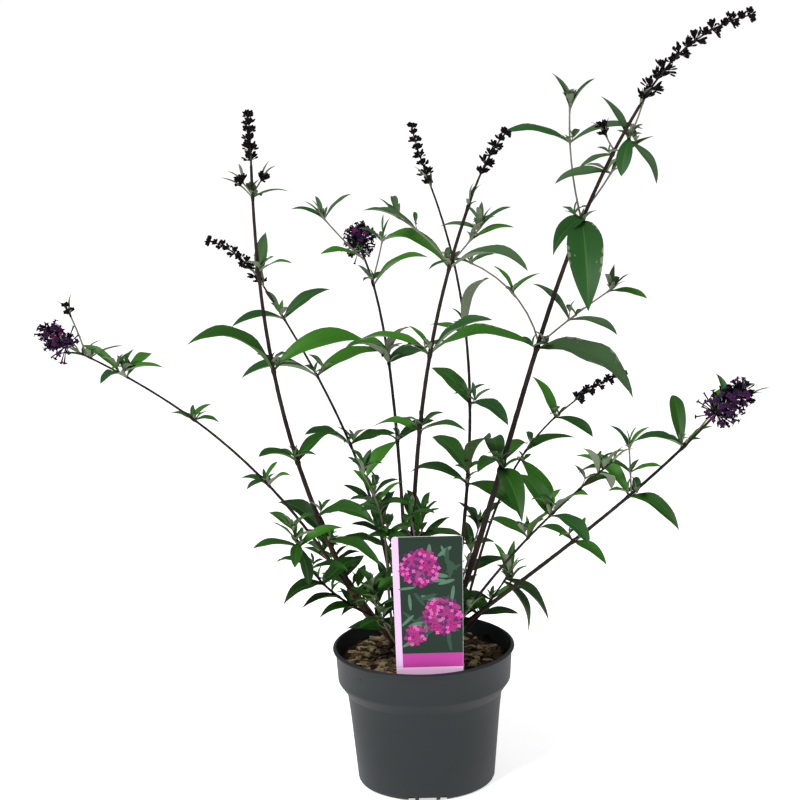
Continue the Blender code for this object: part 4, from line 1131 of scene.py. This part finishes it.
def stalked_bud(foot, aim, length, radius):
    """A closed bud on its stalk: thin up to its middle, then swollen, with a blunt point."""
    side = aim.orthogonal().normalized()
    across = aim.cross(side)
    turns = [2 * math.pi * k / BUD_SIDES for k in range(BUD_SIDES)]
    points = [foot + aim * (length * t) + (side * math.cos(turn) + across * math.sin(turn)) * (radius * share)
              for t, share in BUD_PROFILE for turn in turns]
    points.append(foot + aim * length)
    faces = [tuple(reversed(range(BUD_SIDES)))]
    for row in range(len(BUD_PROFILE) - 1):
        for k in range(BUD_SIDES):
            a, b = row * BUD_SIDES + k, row * BUD_SIDES + (k + 1) % BUD_SIDES
            faces.append((a, b, b + BUD_SIDES, a + BUD_SIDES))
    last = (len(BUD_PROFILE) - 1) * BUD_SIDES
    faces += [(last + k, last + (k + 1) % BUD_SIDES, len(points) - 1) for k in range(BUD_SIDES)]
    bud_heap.put(points, faces, 0)


def around(aim, spread, rng):
    """A direction near another one."""
    side = aim.orthogonal().normalized()
    turn = Matrix.Rotation(rng.uniform(0, 2 * math.pi), 3, aim)
    return (aim + (turn @ side) * math.tan(math.radians(rng.uniform(0, spread)))).normalized()


def floret(foot, aim, tube_length, spread, slot, rng):
    """An open floret: its tube and four lobes."""
    side = aim.orthogonal().normalized()
    side = Matrix.Rotation(rng.uniform(0, math.pi / 2), 3, aim) @ side
    across = aim.cross(side)
    turns = [math.pi * k / 3 for k in range(6)]
    points = [foot + aim * (tube_length * t) + (side * math.cos(turn) + across * math.sin(turn)) * radius
              for t, radius in ((0.0, 0.35), (0.55, 0.5), (1.0, 0.95)) for turn in turns]
    faces = [(row + k, row + (k + 1) % 6, row + 6 + (k + 1) % 6, row + 6 + k) for row in (0, 6) for k in range(6)]
    petal_heap.put(points, faces, 0)
    throat = foot + aim * tube_length
    for lobe in range(4):
        out = side * math.cos(math.pi * lobe / 2) + across * math.sin(math.pi * lobe / 2)
        wide = aim.cross(out)
        droop = rng.uniform(-0.35, 0.3)
        points = []
        for far, half in ((0.15, 0.2), (0.5, 0.42), (0.85, 0.40), (1.0, 0.18)):
            for s in (-1, 0, 1):
                points.append(throat + out * (spread * far) + wide * (spread * half * s)
                              + aim * (spread * (droop * far * far + 0.12 * abs(s) * half)))
        faces = []
        for row in range(3):
            for k in range(2):
                a = row * 3 + k
                faces.append((a, a + 3, a + 4, a + 1))
        petal_heap.put(points, faces, slot)


FAN_BUDS = 15
FAN_SPREAD = 40
FAN_GROWTH = 1.2
FAN_AIM = (0.75, 0.35)
TIP_BUDS = 14
ARM_FLORETS = 7
SKY = Vector((0, 0, 1))


def bud_fan(centre, arm, way, reach, rng):
    """A crowded fan of buds on one side of the axis, turned towards the tip and the light."""
    middle = (arm + way * FAN_AIM[0] + SKY * FAN_AIM[1]).normalized()
    for _ in range(FAN_BUDS):
        aim = around(middle, FAN_SPREAD, rng)
        stalked_bud(centre, aim, reach * FAN_GROWTH * rng.uniform(0.65, 1.0), rng.uniform(0.9, 1.3))


def floret_spray(centre, arm, way, reach, rng):
    """Open florets and a few buds on one side of the axis."""
    middle = (arm + way * 0.3).normalized()
    for _ in range(ARM_FLORETS):
        aim = around(middle, 48, rng)
        slot = rng.choice((1, 1, 2, 2, 2, 3))
        floret(centre, aim, reach * FLORET_GROWTH * rng.uniform(0.5, 0.95), rng.uniform(2.4, 3.6), slot, rng)
    for _ in range(3):
        stalked_bud(centre, around(middle, 60, rng), reach * rng.uniform(0.4, 0.8), 0.9)


def grow_head(start, way, head, girth, rng):
    """A head's axis and everything on it."""
    if head is None:
        return
    kind, length, _, _, bare, size = head
    steps = max(4, round(length / 14))
    points = head_path(start, way, head, steps)
    bar(shoot_heap, points, 0, length, (girth / 2, AXIS_RADIUS * 0.7), 8, 2.5, 0, 0.05)
    flowers = cut_path(points, bare, length + 2, steps)
    run = path_length(flowers)
    shape = (2, BUD_SPACING, BUD_REACH) if kind == "buds" else (FLORETS, (FLORET_SPACING,) * 2, FLORET_REACH)
    spikes, spacing, reach = shape
    levels = max(2, round((length - bare) * 2 / (sum(spacing) * size)))
    total = sum(spacing[0] + (spacing[1] - spacing[0]) * level / levels for level in range(levels))
    grow_spray = bud_fan if kind == "buds" else floret_spray
    side = along(flowers, 0)[1].orthogonal()
    distance = 0.0
    for level in range(levels):
        part = level / levels
        step = (spacing[0] + (spacing[1] - spacing[0]) * part) * run / total
        centre, axis_way = along(flowers, distance + step * 0.3)
        side = (side - axis_way * side.dot(axis_way)).normalized()
        swell = (1.1 - 0.45 * part) * size
        for k in range(0, 2 * spikes, 2):
            arm = Matrix.Rotation(math.pi * (k + level) / spikes + 0.35, 3, axis_way) @ side
            grow_spray(centre, arm, axis_way, reach * swell, rng)
        distance += step
    tip, tip_way = along(flowers, run - 4)
    for _ in range(TIP_BUDS):
        stalked_bud(tip, around(tip_way, 62, rng), reach * size * rng.uniform(0.35, 0.6), 0.8)


for stem in STEMS:
    rng = random.Random(stem.name + "_flowers")
    points = path_of(stem)
    for shoot in stem.shoots:
        grow_head(*along(shoot_path(points, shoot), shoot.length), shoot.head, LEAST_GIRTH, rng)
    grow_head(*along(points, path_length(points)), stem.head, stem.girth[1] * 0.8, rng)
placed(bud_heap.build("flower_buds", 60), "foliage", *mass_nodes)
placed(petal_heap.build("florets", 60), "foliage", *mass_nodes)
placed(shoot_heap.build("shoots_bark", 60), "foliage", *mass_nodes)

# %% [markdown]
# ## Floor and light
# A pale floor and a white backdrop stand in for the studio. The backdrop looks white to the camera but
# lights the plant only half as strongly, so that the big lamp from the upper left can model the leaves.
# A plain white world at full strength would also give a white picture, but it flattens every blade.

# %% Stage
AMBIENT = 0.36

floor_mesh = bpy.data.meshes.new("floor")
floor_mesh.from_pydata([(-20, -20, 0), (20, -20, 0), (20, 20, 0), (-20, 20, 0)], [], [(0, 1, 2, 3)])
floor = bpy.data.objects.new("floor", floor_mesh)
floor.location.z = -0.0005
floor_paint = material("pale_floor", "#fbfbfb", 0.9, 0.1)
floor_shader = floor_paint.node_tree.nodes["Principled BSDF"]
floor_shader.inputs["Emission Color"].default_value = linear("#ffffff")
floor_shader.inputs["Emission Strength"].default_value = 0.62
floor_mesh.materials.append(floor_paint)
bpy.context.scene.collection.objects.link(floor)

world = bpy.data.worlds.new("studio")
world.use_nodes = True
seen = add(world.node_tree, "ShaderNodeLightPath").outputs["Is Camera Ray"]
strength = add(world.node_tree, "ShaderNodeMapRange", Value=seen)
strength.inputs["To Min"].default_value = AMBIENT
strength.inputs["To Max"].default_value = 1.02
background = world.node_tree.nodes["Background"]
background.inputs["Color"].default_value = linear("#ffffff")
world.node_tree.links.new(strength.outputs["Result"], background.inputs["Strength"])
bpy.context.scene.world = world


def lamp(name, place, target, size, power):
    """A square soft lamp aimed at a point."""
    data = bpy.data.lights.new(name, "AREA")
    data.size = size
    data.energy = power
    obj = bpy.data.objects.new(name, data)
    obj.location = place
    obj.rotation_euler = (Vector(target) - Vector(place)).to_track_quat("-Z", "Y").to_euler()
    bpy.context.scene.collection.objects.link(obj)
    return obj


lamp("key_lamp", (-1.5, -1.9, 3.0), (0, 0, 0.4), 1.2, 120)
lamp("fill_lamp", (2.2, -1.6, 1.6), (0, 0, 0.4), 1.8, 18)
